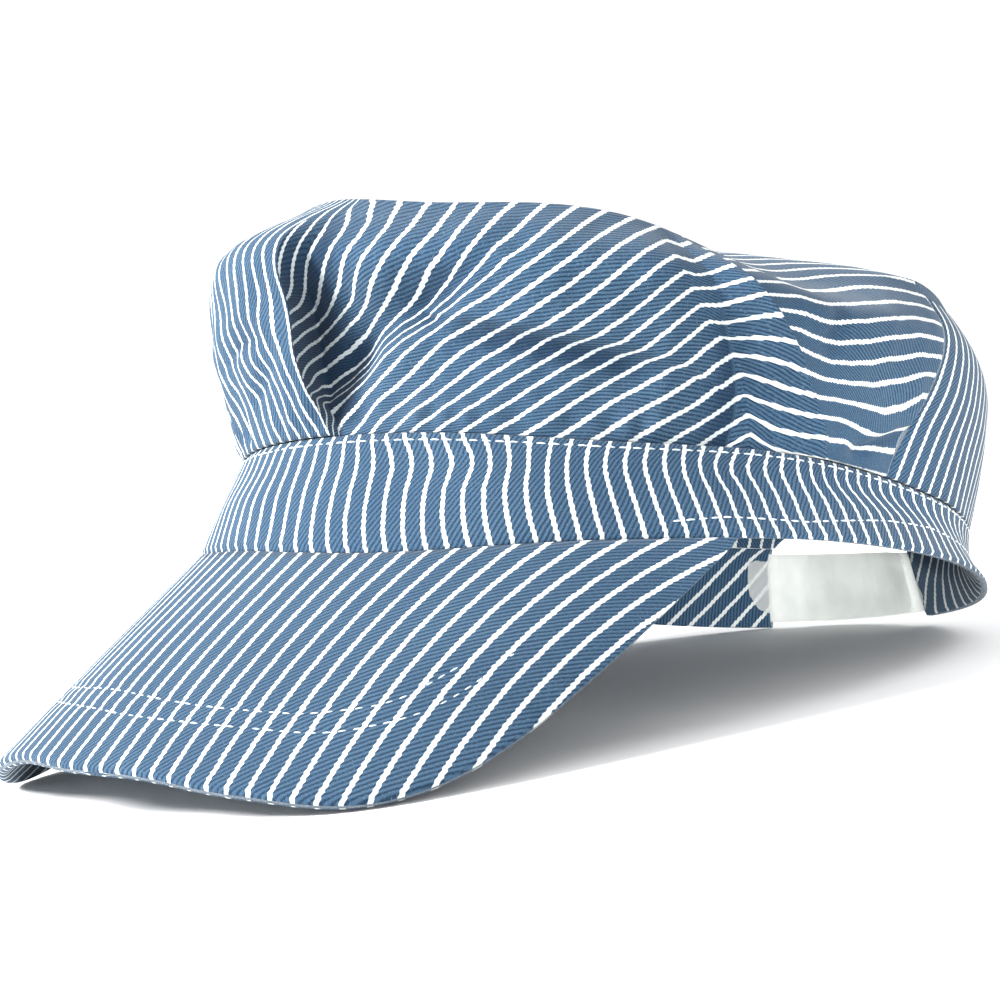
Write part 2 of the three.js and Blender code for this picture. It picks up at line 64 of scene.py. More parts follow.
BAND_SECTIONS = np.array([
    # angle, lower edge, upper edge, lean inward, hollow at mid height
    (-165, 0.08, 0.84, 0.20, 0.00),
    (-140, 0.08, 0.88, 0.19, 0.00),
    (-110, 0.16, 0.88, 0.22, 0.00),
    (-75, 0.19, 0.92, 0.30, 0.00),
    (-40, 0.13, 0.92, 0.31, 0.00),
    (-10, 0.04, 0.91, 0.31, 0.00),
    (20, -0.04, 0.92, 0.42, 0.00),
    (50, 0.10, 0.87, 0.31, 0.00),
    (80, 0.25, 0.93, 0.36, 0.05),
    (110, 0.27, 0.79, 0.19, 0.08),
    (140, 0.17, 0.68, 0.19, 0.06),
    (170, 0.12, 0.79, 0.22, 0.00),
])
CROWN_SECTIONS = np.array([
    # angle, rise, low overhang, mid overhang, high overhang, shoulder overhang
    (-165, 0.88, 0.35, 0.50, 0.50, -0.40),
    (-140, 0.90, 0.35, 0.60, 0.60, -0.40),
    (-110, 0.97, 0.45, 0.85, 0.74, -0.50),
    (-75, 0.98, 0.53, 1.03, 0.76, -0.54),
    (-40, 1.05, 0.48, 0.92, 0.62, -0.55),
    (-10, 1.09, 0.41, 0.76, 1.14, -1.15),
    (20, 0.99, 0.47, 1.00, 1.05, -0.82),
    (50, 0.965, 0.50, 1.08, 1.16, -0.82),
    (80, 0.775, 0.50, 0.93, 1.30, -1.00),
    (107, 0.97, 0.38, 0.60, 0.44, -0.60),
    (140, 0.82, 0.15, 0.30, 0.46, -0.40),
    (170, 0.84, 0.30, 0.42, 0.54, -0.30),
])
FOLD_HEIGHTS = np.array([0, 0.25, 0.5, 0.75, 1.0])
# Fold lines: columns up to the next line, angle at the five heights, depth there as a share of
# FOLD_DEPTH, swell to the next line, and the lean of the cloth at the line and just before the next.
# The near front valley runs back under the front panel, so the pleat overlaps as it does when worn.
FOLD_LINES = [
    dict(steps=60, angle=(-47, -43.5, -43, -43, -42), depth=(0, -0.10, -0.12, -0.08, 0),
         swell=0.10, lean=(0, 0)),
    dict(steps=12, angle=(5, 1.5, 1, 0, -2), depth=(0, -0.14, -0.18, -0.10, 0),
         swell=0, lean=(0, 30)),
    dict(steps=136, angle=(6, -2.5, -4.5, 1.5, 2), depth=(0.25, 1.20, 1.40, 0.65, 0.05),
         swell=-0.10, lean=(36, 62)),
    dict(steps=24, angle=(68.5, 69.9, 66.5, 62, 58.5), depth=(0.45, 1.00, 0.85, 0.45, 0),
         swell=0.12, lean=(70, 78)),
    dict(steps=50, angle=(84, 79, 73.2, 66.2, 61.3), depth=(0, -0.22, -0.30, -0.20, 0),
         swell=0.05, lean=(78, 78)),
    dict(steps=54, angle=(95, 96.5, 100, 103, 106), depth=(0, 0, 0, 0, 0),
         swell=0.05, lean=(0, 0)),
    dict(steps=14, angle=(223, 221.5, 218, 215, 212), depth=(0, 0, 0, 0, 0),
         swell=0.05, lean=(-80, -80)),
    dict(steps=12, angle=(234, 239.5, 246.5, 254, 258), depth=(0, -0.18, -0.22, -0.15, 0),
         swell=0, lean=(-80, -72)),
    dict(steps=40, angle=(249.5, 248, 252.5, 257.5, 261), depth=(0.35, 0.60, 0.45, 0.25, 0),
         swell=-0.25, lean=(-62, -36)),
    dict(steps=6, angle=(312, 313.8, 314, 314.4, 316), depth=(0.20, 0.80, 0.75, 0.40, 0),
         swell=0, lean=(-36, 0)),
]
FRONT_PANEL = 0
NEAR_TUCK = 1
NEAR_SIDE = 2
REAR_ROLL = 3
REAR_PIECE = 4
REAR_SEAM_LEFT = 5
REAR_SEAM_RIGHT = 6
PEAK_SECTIONS = np.array([
    # share of half angle, reach
    (0, 0.98), (0.23, 0.98), (0.45, 1.05), (0.68, 1.12), (0.8, 1.06),
    (0.88, 0.89), (0.94, 0.58), (0.98, 0.27), (1, 0.06),
])


def hermite(x0, v0, m0, x1, v1, m1, x):
    """Cubic between two places x0 and x1 with values v and slopes m."""
    h = x1 - x0
    f = (x - x0) / h
    f2 = f * f
    f3 = f2 * f
    return ((2 * f3 - 3 * f2 + 1) * v0 + (f3 - 2 * f2 + f) * h * m0
            + (3 * f2 - 2 * f3) * v1 + (f3 - f2) * h * m1)


def around(table, column):
    """Smooth closed curve through one column of a table whose first column is an angle."""
    angle = table[:, 0]
    value = table[:, column]
    places = np.concatenate([angle[-2:] - 360, angle, angle[:3] + 360])
    values = np.concatenate([value[-2:], value, value[:3]])
    tangents = (values[2:] - values[:-2]) / (places[2:] - places[:-2])
    places = places[1:-1]
    values = values[1:-1]

    def curve(degrees):
        x = (degrees - angle[0]) % 360 + angle[0]
        i = np.clip(np.searchsorted(places, x, side="right") - 1, 0, len(places) - 2)
        return hermite(places[i], values[i], tangents[i], places[i + 1], values[i + 1], tangents[i + 1], x)
    return curve


def along(places, values, x):
    """Smooth open curve through values at rising places. Values may be arrays, one per place."""
    places = np.asarray(places, float)
    values = [np.asarray(v, float) for v in values]
    last = len(places) - 1
    x = np.asarray(x, float)
    i = np.clip(np.searchsorted(places, x, side="right") - 1, 0, last - 1)
    result = np.zeros(np.broadcast(x, values[0]).shape)
    for k in range(last):
        before = max(0, k - 1)
        after = min(last, k + 2)
        m0 = (values[k + 1] - values[before]) / (places[k + 1] - places[before])
        m1 = (values[after] - values[k]) / (places[after] - places[k])
        piece = hermite(places[k], values[k], m0, places[k + 1], values[k + 1], m1, x)
        result = np.where(i == k, piece, result)
    return result


def ease(share):
    """Smooth step from 0 at 0 to 1 at 1, flat outside."""
    share = np.clip(share, 0, 1)
    return share * share * (3 - 2 * share)


def rim(degrees):
    """Point and outward normal in plan on the outside of the band's lower edge."""
    turn = np.radians(degrees)
    point = np.stack([HEAD_WIDTH / 2 * np.sin(turn), -HEAD_LENGTH / 2 * np.cos(turn)], -1)
    normal = np.stack([np.sin(turn) / HEAD_WIDTH, -np.cos(turn) / HEAD_LENGTH], -1)
    return point, normal / np.linalg.norm(normal, axis=-1, keepdims=True)


band_low, band_high, band_lean, band_hollow = (around(BAND_SECTIONS, c) for c in (1, 2, 3, 4))
crown_rise = around(CROWN_SECTIONS, 1)
crown_overhang = [around(CROWN_SECTIONS, c) for c in (2, 3, 4, 5)]


def band_point(degrees, height, depth):
    """Point on the band at a share of its height, so deep below its outer face."""
    degrees, height, depth = np.broadcast_arrays(degrees, height, depth)
    point, normal = rim(degrees)
    inset = BAND_HEIGHT * (band_lean(degrees) * height
                           + band_hollow(degrees) * np.sin(np.pi * np.clip(height, 0, 1))) + depth
    low = band_low(degrees)
    z = BAND_HEIGHT * (low + (band_high(degrees) - low) * height)
    return np.concatenate([point - normal * inset[..., None], z[..., None]], -1)


def wall_point(degrees, height, depth):
    """Point on the crown's wall at a share of its rise, so deep below its outer face."""
    degrees, height, depth = np.broadcast_arrays(degrees, height, depth)
    normal = rim(degrees)[1]
    seam = band_point(degrees, 1.0, 0.0)
    overhangs = [np.zeros(degrees.shape)] + [f(degrees) for f in crown_overhang]
    out = CROWN_BULGE * along(FOLD_HEIGHTS, overhangs, height) - depth
    seam[..., :2] += normal * out[..., None]
    seam[..., 2] += GAP + CROWN_RISE * crown_rise(degrees) * height
    return seam


def opening_half(z):
    """Half angle of the back opening at a height above the rim."""
    springing = BAND_HEIGHT * band_high(180.0) * ARCH_SPRINGING
    crest = BAND_HEIGHT * band_high(180.0) + ARCH_RISE
    climb = np.clip((z - springing) / (crest - springing), 0, 1)
    return OPENING_HALF_ANGLE * np.sqrt(1 - ARCH_ROUND * climb * climb)


def line_angle(line, height):
    return along(FOLD_HEIGHTS, FOLD_LINES[line]["angle"], height)


def fold_at(line, share, height):
    """Angle and depth at a share of the way from one fold line to the next."""
    following = (line + 1) % len(FOLD_LINES)
    start = line_angle(line, height)
    end = line_angle(following, height) + (0 if following else 360)
    swell = FOLD_LINES[line]["swell"] * np.sin(np.pi * share) * np.sin(np.pi * np.clip(height, 0, 1))
    low = along(FOLD_HEIGHTS, FOLD_LINES[line]["depth"], height)
    high = along(FOLD_HEIGHTS, FOLD_LINES[following]["depth"], height)
    return start + (end - start) * share, (low + (high - low) * share - swell) * FOLD_DEPTH


def to_row(points):
    """Millimetres on the level rim to metres in the row frame."""
    turned = points @ np.array(Quaternion(REST_TURN).to_matrix()).T
    return (turned + np.array(REST_SHIFT)) / 1000


def place_object(name, data):
    obj = bpy.data.objects.new(name, data)
    bpy.context.scene.collection.objects.link(obj)
    return obj


def make_mesh(name, points, faces, fabric=None):
    mesh = bpy.data.meshes.new(name)
    mesh.from_pydata(to_row(points).tolist(), [], faces)
    if fabric is not None:
        layer = mesh.attributes.new("fabric", "FLOAT_VECTOR", "POINT")
        layer.data.foreach_set("vector", fabric.astype(np.float32).ravel())
    mesh.update()
    mesh.polygons.foreach_set("use_smooth", [True] * len(mesh.polygons))
    return place_object(name, mesh)


def shell(name, outer, inner, fabric, fabric_in, mask=None, closed=False, pole=None):
    """Closed cloth shell from two grids of rows and columns, with the open cells left out."""
    rows, columns = outer.shape[:2]
    points = np.concatenate([outer.reshape(-1, 3), inner.reshape(-1, 3)])
    cloth = np.concatenate([fabric.reshape(-1, 3), fabric_in.reshape(-1, 3)])
    span = columns if closed else columns - 1
    active = np.ones((rows - 1, span), bool) if mask is None else mask[: rows - 1, :span]
    offset = rows * columns
    out = np.arange(offset).reshape(rows, columns)
    into = out + offset
    r, c = np.nonzero(active)
    d = (c + 1) % columns
    quads = [np.stack([out[r, c], out[r, d], out[r + 1, d], out[r + 1, c]], -1),
             np.stack([into[r, c], into[r + 1, c], into[r + 1, d], into[r, d]], -1)]
    padded = np.zeros((rows + 1, span + 2), bool)
    padded[1:-1, 1:-1] = active
    if closed:
        padded[1:-1, 0] = active[:, -1]
        padded[1:-1, -1] = active[:, 0]
    low = ~padded[r, c + 1]
    high = ~padded[r + 2, c + 1]
    left = ~padded[r + 1, c]
    right = ~padded[r + 1, c + 2]
    if pole is not None:
        high &= r < rows - 2
    quads.append(np.stack([into[r, c], into[r, d], out[r, d], out[r, c]], -1)[low])
    quads.append(np.stack([out[r + 1, c], out[r + 1, d], into[r + 1, d], into[r + 1, c]], -1)[high])
    quads.append(np.stack([into[r, c], out[r, c], out[r + 1, c], into[r + 1, c]], -1)[left])
    quads.append(np.stack([out[r, d], into[r, d], into[r + 1, d], out[r + 1, d]], -1)[right])
    faces = np.concatenate(quads).tolist()
    if pole is not None:
        points = np.concatenate([points, pole[0]])
        cloth = np.concatenate([cloth, pole[1]])
        top = len(points) - 2
        ring = np.arange(columns)
        following = (ring + 1) % columns
        faces += [[int(out[-1, i]), int(out[-1, j]), top] for i, j in zip(ring, following)]
        faces += [[int(into[-1, j]), int(into[-1, i]), top + 1] for i, j in zip(ring, following)]
    used = np.unique(np.concatenate([np.ravel(f) for f in faces]))
    renumber = np.zeros(len(points), int)
    renumber[used] = np.arange(len(used))
    faces = [[int(renumber[i]) for i in f] for f in faces]
    return make_mesh(name, points[used], faces, cloth[used])


def running_length(grid):
    """Length along each row of a grid of points, from its first column."""
    step = np.linalg.norm(np.diff(grid, axis=1), axis=-1)
    return np.concatenate([np.zeros((len(grid), 1)), np.cumsum(step, axis=1)], axis=1)


NOISE_WAVES = 7


def smooth_noise(seed, x, y, scale):
    """Repeatable soft noise between -1 and 1 on a plane, made of a few waves about scale long."""
    rng = np.random.default_rng(seed)
    total = np.zeros(np.broadcast(x, y).shape)
    for _ in range(NOISE_WAVES):
        direction = rng.uniform(0, 2 * np.pi)
        wave = rng.uniform(0.6, 1.6) / scale
        phase = rng.uniform(0, 2 * np.pi)
        total += np.sin(2 * np.pi * wave * (x * np.cos(direction) + y * np.sin(direction)) + phase)
    return total / (NOISE_WAVES / 2)


# Band
BAND_COLUMNS = 420
BAND_PHASE = 1.0
BAND_STRIPE = 4.14
BAND_LAY = np.array([
    # arc from the front, shift of the stripes at the lower edge, low, middle, high and upper edge
    (-260, 0, 0, 0, 0, 0),
    (-90, -1, 0, 0, 0, 1),
    (-27, 6, 2.5, 0, 3, 3.5),
    (0, 3.5, 1.5, 0, 0, -0.5),
    (22, 3.4, 1, 0, -0.8, -4.6),
    (43, 2.5, 0.7, 0, 1, -2.5),
    (58, 2.5, 1, 0, 0, 0.5),
    (72, 2.3, 1.2, 0, -1, 0),
    (88, 2.2, 1.2, 0, -1, -0.2),
    (97, 1.8, 0.8, 0, -2.3, 0.5),
    (116, 0, 0, 0, -1, -0.5),
    (130, -1, 0, 0, -4, -3),
    (147, -4, -0.7, 0, -5, -7),
    (260, 0, 0, 0, 0, 0),
])
BAND_ROWS = np.array([0, 0.02, 0.06, 0.12, 0.2, 0.3, 0.4, 0.5, 0.6, 0.7, 0.8, 0.88, 0.94, 0.98, 1.0])
# Rounding of the edges and a soft ripple between them, in millimetres and as shares of the height
BAND_EDGE = 0.6
BAND_EDGE_SHARE = 0.06
BAND_INNER_EDGE = 0.6
BAND_RIPPLE = 0.3
BAND_RIPPLE_SHARE = 0.2
BAND_RIPPLE_LENGTH = 30
BAND_ARC_PER_DEG = 1.6
BAND_TALL = 25
BAND_SEED = 3
# The lining is cut on the bias, at 45 degrees
BIAS = 0.7071


def band_surface(degrees, height):
    """Outer face of the band, its edge rounding and its ripple."""
    from_edge = np.minimum(height, 1 - height)
    edge = BAND_EDGE * (1 - ease(from_edge / BAND_EDGE_SHARE))
    wave = smooth_noise(BAND_SEED, degrees * BAND_ARC_PER_DEG, height * BAND_TALL, BAND_RIPPLE_LENGTH)
    ripple = BAND_RIPPLE * wave * ease(from_edge / BAND_RIPPLE_SHARE)
    return band_point(degrees, height, edge - ripple), edge, ripple


def band_end():
    """Angle at which the band ends on each side of the back opening, for every row."""
    return 180 - opening_half(band_point(180.0, BAND_ROWS, 0.0)[..., 2])[:, None]


def build_band():
    height = BAND_ROWS[:, None]
    end = band_end()
    degrees = -end + 2 * end * np.linspace(0, 1, BAND_COLUMNS + 1)[None, :]
    outer, edge, ripple = band_surface(degrees, height)
    inner = band_point(degrees, height, BAND_WALL - edge * BAND_INNER_EDGE - ripple)
    arc = running_length(outer)[len(outer) // 2]
    arc -= arc[len(arc) // 2]
    tall = BAND_HEIGHT * (band_high(degrees) - band_low(degrees)) * height
    shifts = [np.interp(arc, BAND_LAY[:, 0], column) for column in BAND_LAY.T[1:]]
    shift = along(FOLD_HEIGHTS, shifts, height)
    across = ((arc - shift - BAND_PHASE) / BAND_STRIPE + 0.5) * STRIPE_PITCH
    fabric = np.stack([across, tall, np.zeros(degrees.shape)], -1)
    lining = np.stack([(across + tall) * BIAS, (tall - across) * BIAS, np.zeros(degrees.shape)], -1)
    return shell("band_cloth", outer, inner, fabric, lining)


# Peak
PEAK_COLUMNS = 180
PEAK_ROWS = 44
PEAK_PHASE = 6.7
PEAK_STRIPE = 4.33
PEAK_ROW_CROWDING = 1.6
PEAK_ARC_SHARE = 0.999
PEAK_EDGE = 1.6
PEAK_EDGE_WALL = 0.38
# How the stripes bend: beyond this far down, and beside the root by this far across
PEAK_BEND_DOWN = 20
PEAK_BEND_ACROSS = 45
PEAK_BEND_OUTER = 0.0027
PEAK_BEND_ROOT = 0.0035
PEAK_SINK = 0.22
PEAK_SINK_SPREAD = 0.9
# Rows of stitches on the peak laid flat, as places across and down from the middle of its root
PEAK_STITCH_ROWS = [
    [(-67, 4), (-64, 15), (-60, 22), (-30, 37.5), (0, 43),
     (20, 43.5), (40, 39.5), (50, 34), (57, 27), (62, 15)],
    [(-71, 4), (-68, 14), (-60, 27), (-30, 42), (0, 48.5), (20, 48),
     (40, 44), (50, 40), (58, 33), (63, 26), (66, 18), (69, 5)],
]


def peak_top(side, outward):
    side, outward = np.broadcast_arrays(side, outward)
    reach = PEAK_REACH * along(PEAK_SECTIONS[:, 0], PEAK_SECTIONS[:, 1], np.abs(side))
    point = band_point(side * PEAK_HALF_ANGLE, 0.0, 0.0)
    run = reach * outward
    fall = (math.tan(math.radians(PEAK_SLOPE_DEG)) * run
            + math.tan(math.radians(PEAK_DROOP_DEG)) * run * run / PEAK_REACH)
    point[..., 1] -= run
    point[..., 2] -= fall
    return point


def peak_normal(side):
    fore = peak_top(np.minimum(1, side + 0.004), 0.0)
    back = peak_top(np.maximum(-1, side - 0.004), 0.0)
    normal = np.cross(peak_top(side, 1.0) - peak_top(side, 0.0), fore - back)
    return normal / np.linalg.norm(normal, axis=-1, keepdims=True)


def peak_developed(side):
    """The peak laid flat: place across and down of each ruling's root, and the ruling's length."""
    root = peak_top(side, 0.0)
    ruling = peak_top(side, 1.0) - root
    length = np.linalg.norm(ruling, axis=-1)
    ruling /= length[:, None]
    step = np.diff(root, axis=0)
    down_step = np.sum(step * ruling[1:], -1)
    across_step = np.sqrt(np.maximum(np.sum(step * step, -1) - down_step ** 2, 0))
    across = np.concatenate([[0], np.cumsum(across_step)])
    down = np.concatenate([[0], np.cumsum(down_step)])
    middle = len(across) // 2
    return across - across[middle], down - down[middle], length


def build_peak():
    turn = np.pi / 2 * PEAK_ARC_SHARE
    side = np.sin(np.linspace(-1, 1, PEAK_COLUMNS + 1) * turn) / math.sin(turn)
    outward = (1 - np.linspace(0, 1, PEAK_ROWS + 1) ** PEAK_ROW_CROWDING)[:, None]
    across, root_down, length = peak_developed(side)
    side = side[None, :]
    middle = peak_top(side, outward)
    normal = peak_normal(side)
    from_edge = np.clip((1 - outward) * length / PEAK_EDGE, 0, 1)
    rounding = PEAK_WALL * PEAK_EDGE_WALL * (1 - np.sqrt(1 - (1 - from_edge) ** 2))
    down = length * outward + root_down
    sink = np.zeros(down.shape)
    for row in PEAK_STITCH_ROWS:
        sink += PEAK_SINK * np.exp(-((down - np.interp(across, *zip(*row))) / PEAK_SINK_SPREAD) ** 2)
    top = middle - normal * (rounding + sink)[..., None]
    under = middle - normal * (PEAK_WALL - rounding)[..., None]
    beside_middle = ease(np.abs(across) / PEAK_BEND_ACROSS) * np.sign(across)
    bend = (PEAK_BEND_OUTER * np.maximum(0, down - PEAK_BEND_DOWN) ** 2
            + PEAK_BEND_ROOT * np.maximum(0, PEAK_BEND_DOWN - down) ** 2 * beside_middle)
    striped = ((across - bend - PEAK_PHASE) / PEAK_STRIPE + 0.5) * STRIPE_PITCH
    fabric = np.stack([striped, -down, np.zeros(down.shape)], -1)
    under_fabric = fabric * np.array([-1, 1, 1])
    return shell("peak_cloth", top, under, fabric, under_fabric)


# Crown
WALL_STEPS = 72
TOP_STEPS = 26
CROWN_WALL = 1.2
ARC_PER_DEG = 1.5
RISE_PER_HEIGHT = 45.0
# Uneven gathers just above the band, wrinkles of two sizes, and the shares of the wall's height at
# its ends over which all of them fade
GATHER = 0.6
GATHER_SHARE = 0.2
GATHER_TURN = 1.1
GATHER_SWAY = 2
GATHER_SWAY_TURN = 0.23
WRINKLE = 0.55
WRINKLE_LENGTH = 26
WRINKLE_SEED = 5
PUCKER = 0.22
PUCKER_LENGTH = 9
PUCKER_SEED = 6
FADE_LOW = 0.08
FADE_HIGH = 0.1
# The top: how flat its dome is, its soft waves, its innermost ring as a share of the shoulder, and the
# share of the way in over which its stripes settle into straight ones
TOP_FLATNESS = 6
TOP_WAVE = 0.7
TOP_WAVE_LENGTH = 45
TOP_WAVE_SHARE = 0.2
TOP_SEED = 8
TOP_INNER_RING = 0.03
TOP_SETTLE = 0.5
# Share of the wall's height up to which the back panel takes the place of the crown's cloth
BACK_TOP = 0.9

# How the striped cloth lies on the near side: stripes counted at each height and angle, up to the
# valley of the rear fold and behind it
LAY_ANGLES = (5, 20, 35, 50, 64, 72)
LAY_ROWS = [
    # height, stripes at each of the angles
    (0.0, 0.2, 4.1, 7.4, 10.3, 13.0, 14.8),
    (0.2, -1.0, 2.0, 5.2, 8.5, 11.1, 12.9),
    (0.4, -3.8, 0.1, 2.8, 6.2, 9.65, 11.4),
    (0.6, -7.3, -2.9, 0.35, 3.9, 8.0, 9.6),
    (0.8, -9.0, -5.0, -1.9, 2.05, 5.8, 7.3),
    (1.0, -7.8, -5.5, -2.95, 0.2, 3.6, 5.2),
]
LAY_PER_DEG = 0.22
REAR_ANGLES = (60, 64, 68, 72, 76, 80, 90, 102)
REAR_ROWS = [
    # height, stripes at each of the angles
    (0.0, 16.4, 16.0, 15.2, 14.8, 14.1, 13.95, 13.9, 14.1),
    (0.2, 14.5, 14.1, 13.5, 12.6, 12.1, 11.9, 12.2, 12.6),
    (0.4, 11.3, 11.1, 10.7, 10.3, 9.9, 9.8, 10.5, 11.2),
    (0.6, 6.6, 6.9, 7.4, 7.6, 7.5, 7.8, 8.6, 8.9),
    (0.8, 2.7, 3.7, 4.5, 5.2, 5.4, 5.9, 6.5, 6.4),
    (1.0, 0.8, 1.5, 2.3, 3.1, 3.5, 4.0, 4.5, 3.9),
]
# Stripes by which the roll of the rear fold is ahead of the piece behind its seam, by height
SEAM_HEIGHTS = (0.42, 0.51, 0.61, 0.67, 0.84)
SEAM_AHEAD = (0, 0.2, 0.65, 1.0, 1.5)
# How far the roll stands proud at that seam, from this height up, and over how much height that grows
SEAM_LAP = 0.7
SEAM_LAP_FROM = 0.25
SEAM_LAP_RISE = 0.2


def dent(path, hollow, spread):
    """A crease that only hollows the cloth, or swells it where the hollow is negative."""
    return dict(path=path, tuck=(0, 0), width=1, stand=0, hollow=hollow, offset=0, spread=spread)


# Creases on the near side as angle and height, each with the stripes that its tuck swallows along it,
# the width of that tuck, how far the cloth above it stands out and the depth of the hollow beside it
CREASES = [
    dict(path=((-8, 0.06), (4, 0.25), (10.5, 0.36), (16, 0.44), (21, 0.50), (26, 0.56), (30, 0.61),
               (35, 0.70)),
         tuck=(-1.6, -1.65, -1.85, -1.9, -1.4, 0), width=1.2, stand=0.8,
         hollow=3.4, offset=2.5, spread=4.0),
    dict(path=((24, 0.49), (33, 0.455), (39, 0.435), (45, 0.415), (51, 0.395), (57, 0.365), (62, 0.33)),
         tuck=(0, -0.35, -0.55, -0.5, -0.2), width=0.3, stand=2.8, hollow=2.2, offset=-2.4, spread=3.0),
    dent(((17, 0.10), (15, 0.26), (13, 0.42), (13, 0.62), (14, 0.80)), -2.0, 9.0),
    dent(((56, 0.78), (58.5, 0.55), (60, 0.35), (59, 0.15)), -2.4, 6.0),
    dent(((79, 0.92), (79, 0.75), (78.5, 0.60), (79.5, 0.45)), 1.3, 3.2),
    dict(path=((86, 0.05), (90, 0.14), (94, 0.22), (98, 0.26)),
         tuck=(0, -0.5, -0.8, -0.5, 0), width=0.5, stand=1.5, hollow=1.3, offset=-1.8, spread=2.5),
]
# The pinch near the middle of the front panel, laid out in the same way
FRONT_CREASES = [
    dict(path=((-22, 0.36), (-13, 0.42), (-6, 0.40)),
         tuck=(0, 0), width=1, stand=0.5, hollow=1.6, offset=0, spread=2.4),
    dent(((-14, 0.16), (-8, 0.24), (-4, 0.33)), 0.8, 2.2),
]
# Strength left at a crease's ends, how blunt its rise is, and how far its parts reach in millimetres.
# A tuck's stripes are all on one side of it beyond this many widths.
CREASE_END = 0.04
CREASE_BLUNT = 0.6
STAND_REACH = 7
STAND_EDGE = 1.2
TUCK_REACH = 14
TUCK_WIDTHS = 30
# The front panel: the stripe at its near ridge, the degrees between stripes and how they widen inward,
# and the degrees beside the ridge where its creases fade
FRONT_EDGE_DEG = 5
FRONT_FIRST_STRIPE = -11.9
FRONT_STRIPE_RISE = 0.4
FRONT_STRIPE_DEG = 2.05
FRONT_SPREAD = 0.025
TOP_FIRST_STRIPE = -12.0
# How the pinch sways the front panel's stripes: the height, its spread, and the degrees there
FRONT_SWAYS = [(0.42, 0.16, 3.0), (0.18, 0.08, -1.1)]
FRONT_SWAY_DEG = 8
# The near tuck shows this many of the side's stripes, and all of them from this height up. Its edge
# is a sliver where they give way to the front panel's, and its inner face lies behind the outer one.
TUCK_STRIPES = 2.2
TUCK_OPENS = 0.86
TUCK_EDGE = 0.006
TUCK_BEHIND_DEG = 0.85


def beside(path, degrees, height):
    """Distance to a crease, positive above it, and the share of the way along it."""
    scale = np.array([ARC_PER_DEG, RISE_PER_HEIGHT])
    corner = np.array(path) * scale
    spot = np.stack(np.broadcast_arrays(degrees, height), -1) * scale
    step = np.diff(corner, axis=0)
    size = np.linalg.norm(step, axis=1)
    start = np.concatenate([[0], np.cumsum(size)])
    nearest = np.full(spot.shape[:-1], np.inf)
    signed = np.zeros_like(nearest)
    share = np.zeros_like(nearest)
    for k in range(len(step)):
        part = np.clip((spot - corner[k]) @ step[k] / size[k] ** 2, 0, 1)
        gap = spot - corner[k] - part[..., None] * step[k]
        reach = np.linalg.norm(gap, axis=-1)
        side = np.sign(step[k][0] * gap[..., 1] - step[k][1] * gap[..., 0])
        closer = reach < nearest
        nearest = np.where(closer, reach, nearest)
        signed = np.where(closer, side * reach, signed)
        share = np.where(closer, (start[k] + part * size[k]) / start[-1], share)
    return signed, share


def crease_relief(creases, degrees, height):
    """How far the creases push the cloth out."""
    out = np.zeros(np.broadcast(degrees, height).shape)
    for crease in creases:
        distance, share = beside(crease["path"], degrees, height)
        strength = np.sin(np.pi * np.clip(share, CREASE_END, 1 - CREASE_END)) ** CREASE_BLUNT
        step = crease["stand"] * np.exp(-np.abs(distance) / STAND_REACH) * ease(distance / STAND_EDGE + 0.5)
        hollow = crease["hollow"] * np.exp(-((distance - crease["offset"]) / crease["spread"]) ** 2)
        out += strength * (step - hollow)
    return out


def lay(angles, rows, degrees, height):
    """Stripes counted by a table of rows of heights and columns of angles."""
    counts = [along(angles, row[1:], degrees) for row in rows]
    return along([row[0] for row in rows], counts, height)


def near_lay(lines, degrees, height):
    """Stripes on the near side. They turn at the valley of the rear fold and jump at its seam."""
    last = LAY_ANGLES[-1]
    side = lay(LAY_ANGLES, LAY_ROWS, np.minimum(degrees, last), height)
    side += LAY_PER_DEG * np.maximum(degrees - last, 0)
    rear = lay(REAR_ANGLES, REAR_ROWS, np.maximum(degrees, REAR_ANGLES[0]), height)
    roll = np.minimum(side, rear + np.interp(height, SEAM_HEIGHTS, SEAM_AHEAD))
    count = np.where(lines <= REAR_ROLL, roll, rear)
    for crease in CREASES:
        distance, share = beside(crease["path"], degrees, height)
        tuck = np.interp(share, np.linspace(0, 1, len(crease["tuck"])), crease["tuck"])
        above = 1 / (1 + np.exp(-np.clip(distance / crease["width"], -TUCK_WIDTHS, TUCK_WIDTHS)))
        count += tuck * above * np.exp(-np.abs(distance) / TUCK_REACH)
    return count


def front_lay(degrees, height, ridge):
    """The front panel's stripes run beside its near ridge and sway where it is pinched."""
    sway = sum(size * np.exp(-((height - place) / spread) ** 2) for place, spread, size in FRONT_SWAYS)
    inward = np.maximum(ridge - degrees, 0)
    inward = inward - sway * ease(inward / FRONT_SWAY_DEG)
    first = FRONT_FIRST_STRIPE + FRONT_STRIPE_RISE * height
    return first - inward / (FRONT_STRIPE_DEG + FRONT_SPREAD * np.maximum(inward, 0))


def crown_fields(height):
    """Line, share of the way to the next, angle, fold depth and lean of the cloth, for every column."""
    lines = np.concatenate([[k] * fold["steps"] for k, fold in enumerate(FOLD_LINES)])
    shares = np.concatenate([np.arange(fold["steps"]) / fold["steps"] for fold in FOLD_LINES])
    shares[np.nonzero(lines == NEAR_TUCK)[0][1]] = TUCK_EDGE
    angle = np.zeros((len(height), len(lines)))
    depth = np.zeros_like(angle)
    lean = np.zeros(len(lines))
    for line, fold in enumerate(FOLD_LINES):
        pick = np.nonzero(lines == line)[0]
        angle[:, pick], depth[:, pick] = fold_at(line, shares[pick][None, :], height[:, None])
        lean[pick] = fold["lean"][0] + (fold["lean"][1] - fold["lean"][0]) * shares[pick]
    return lines, shares, angle, depth, np.radians(lean)


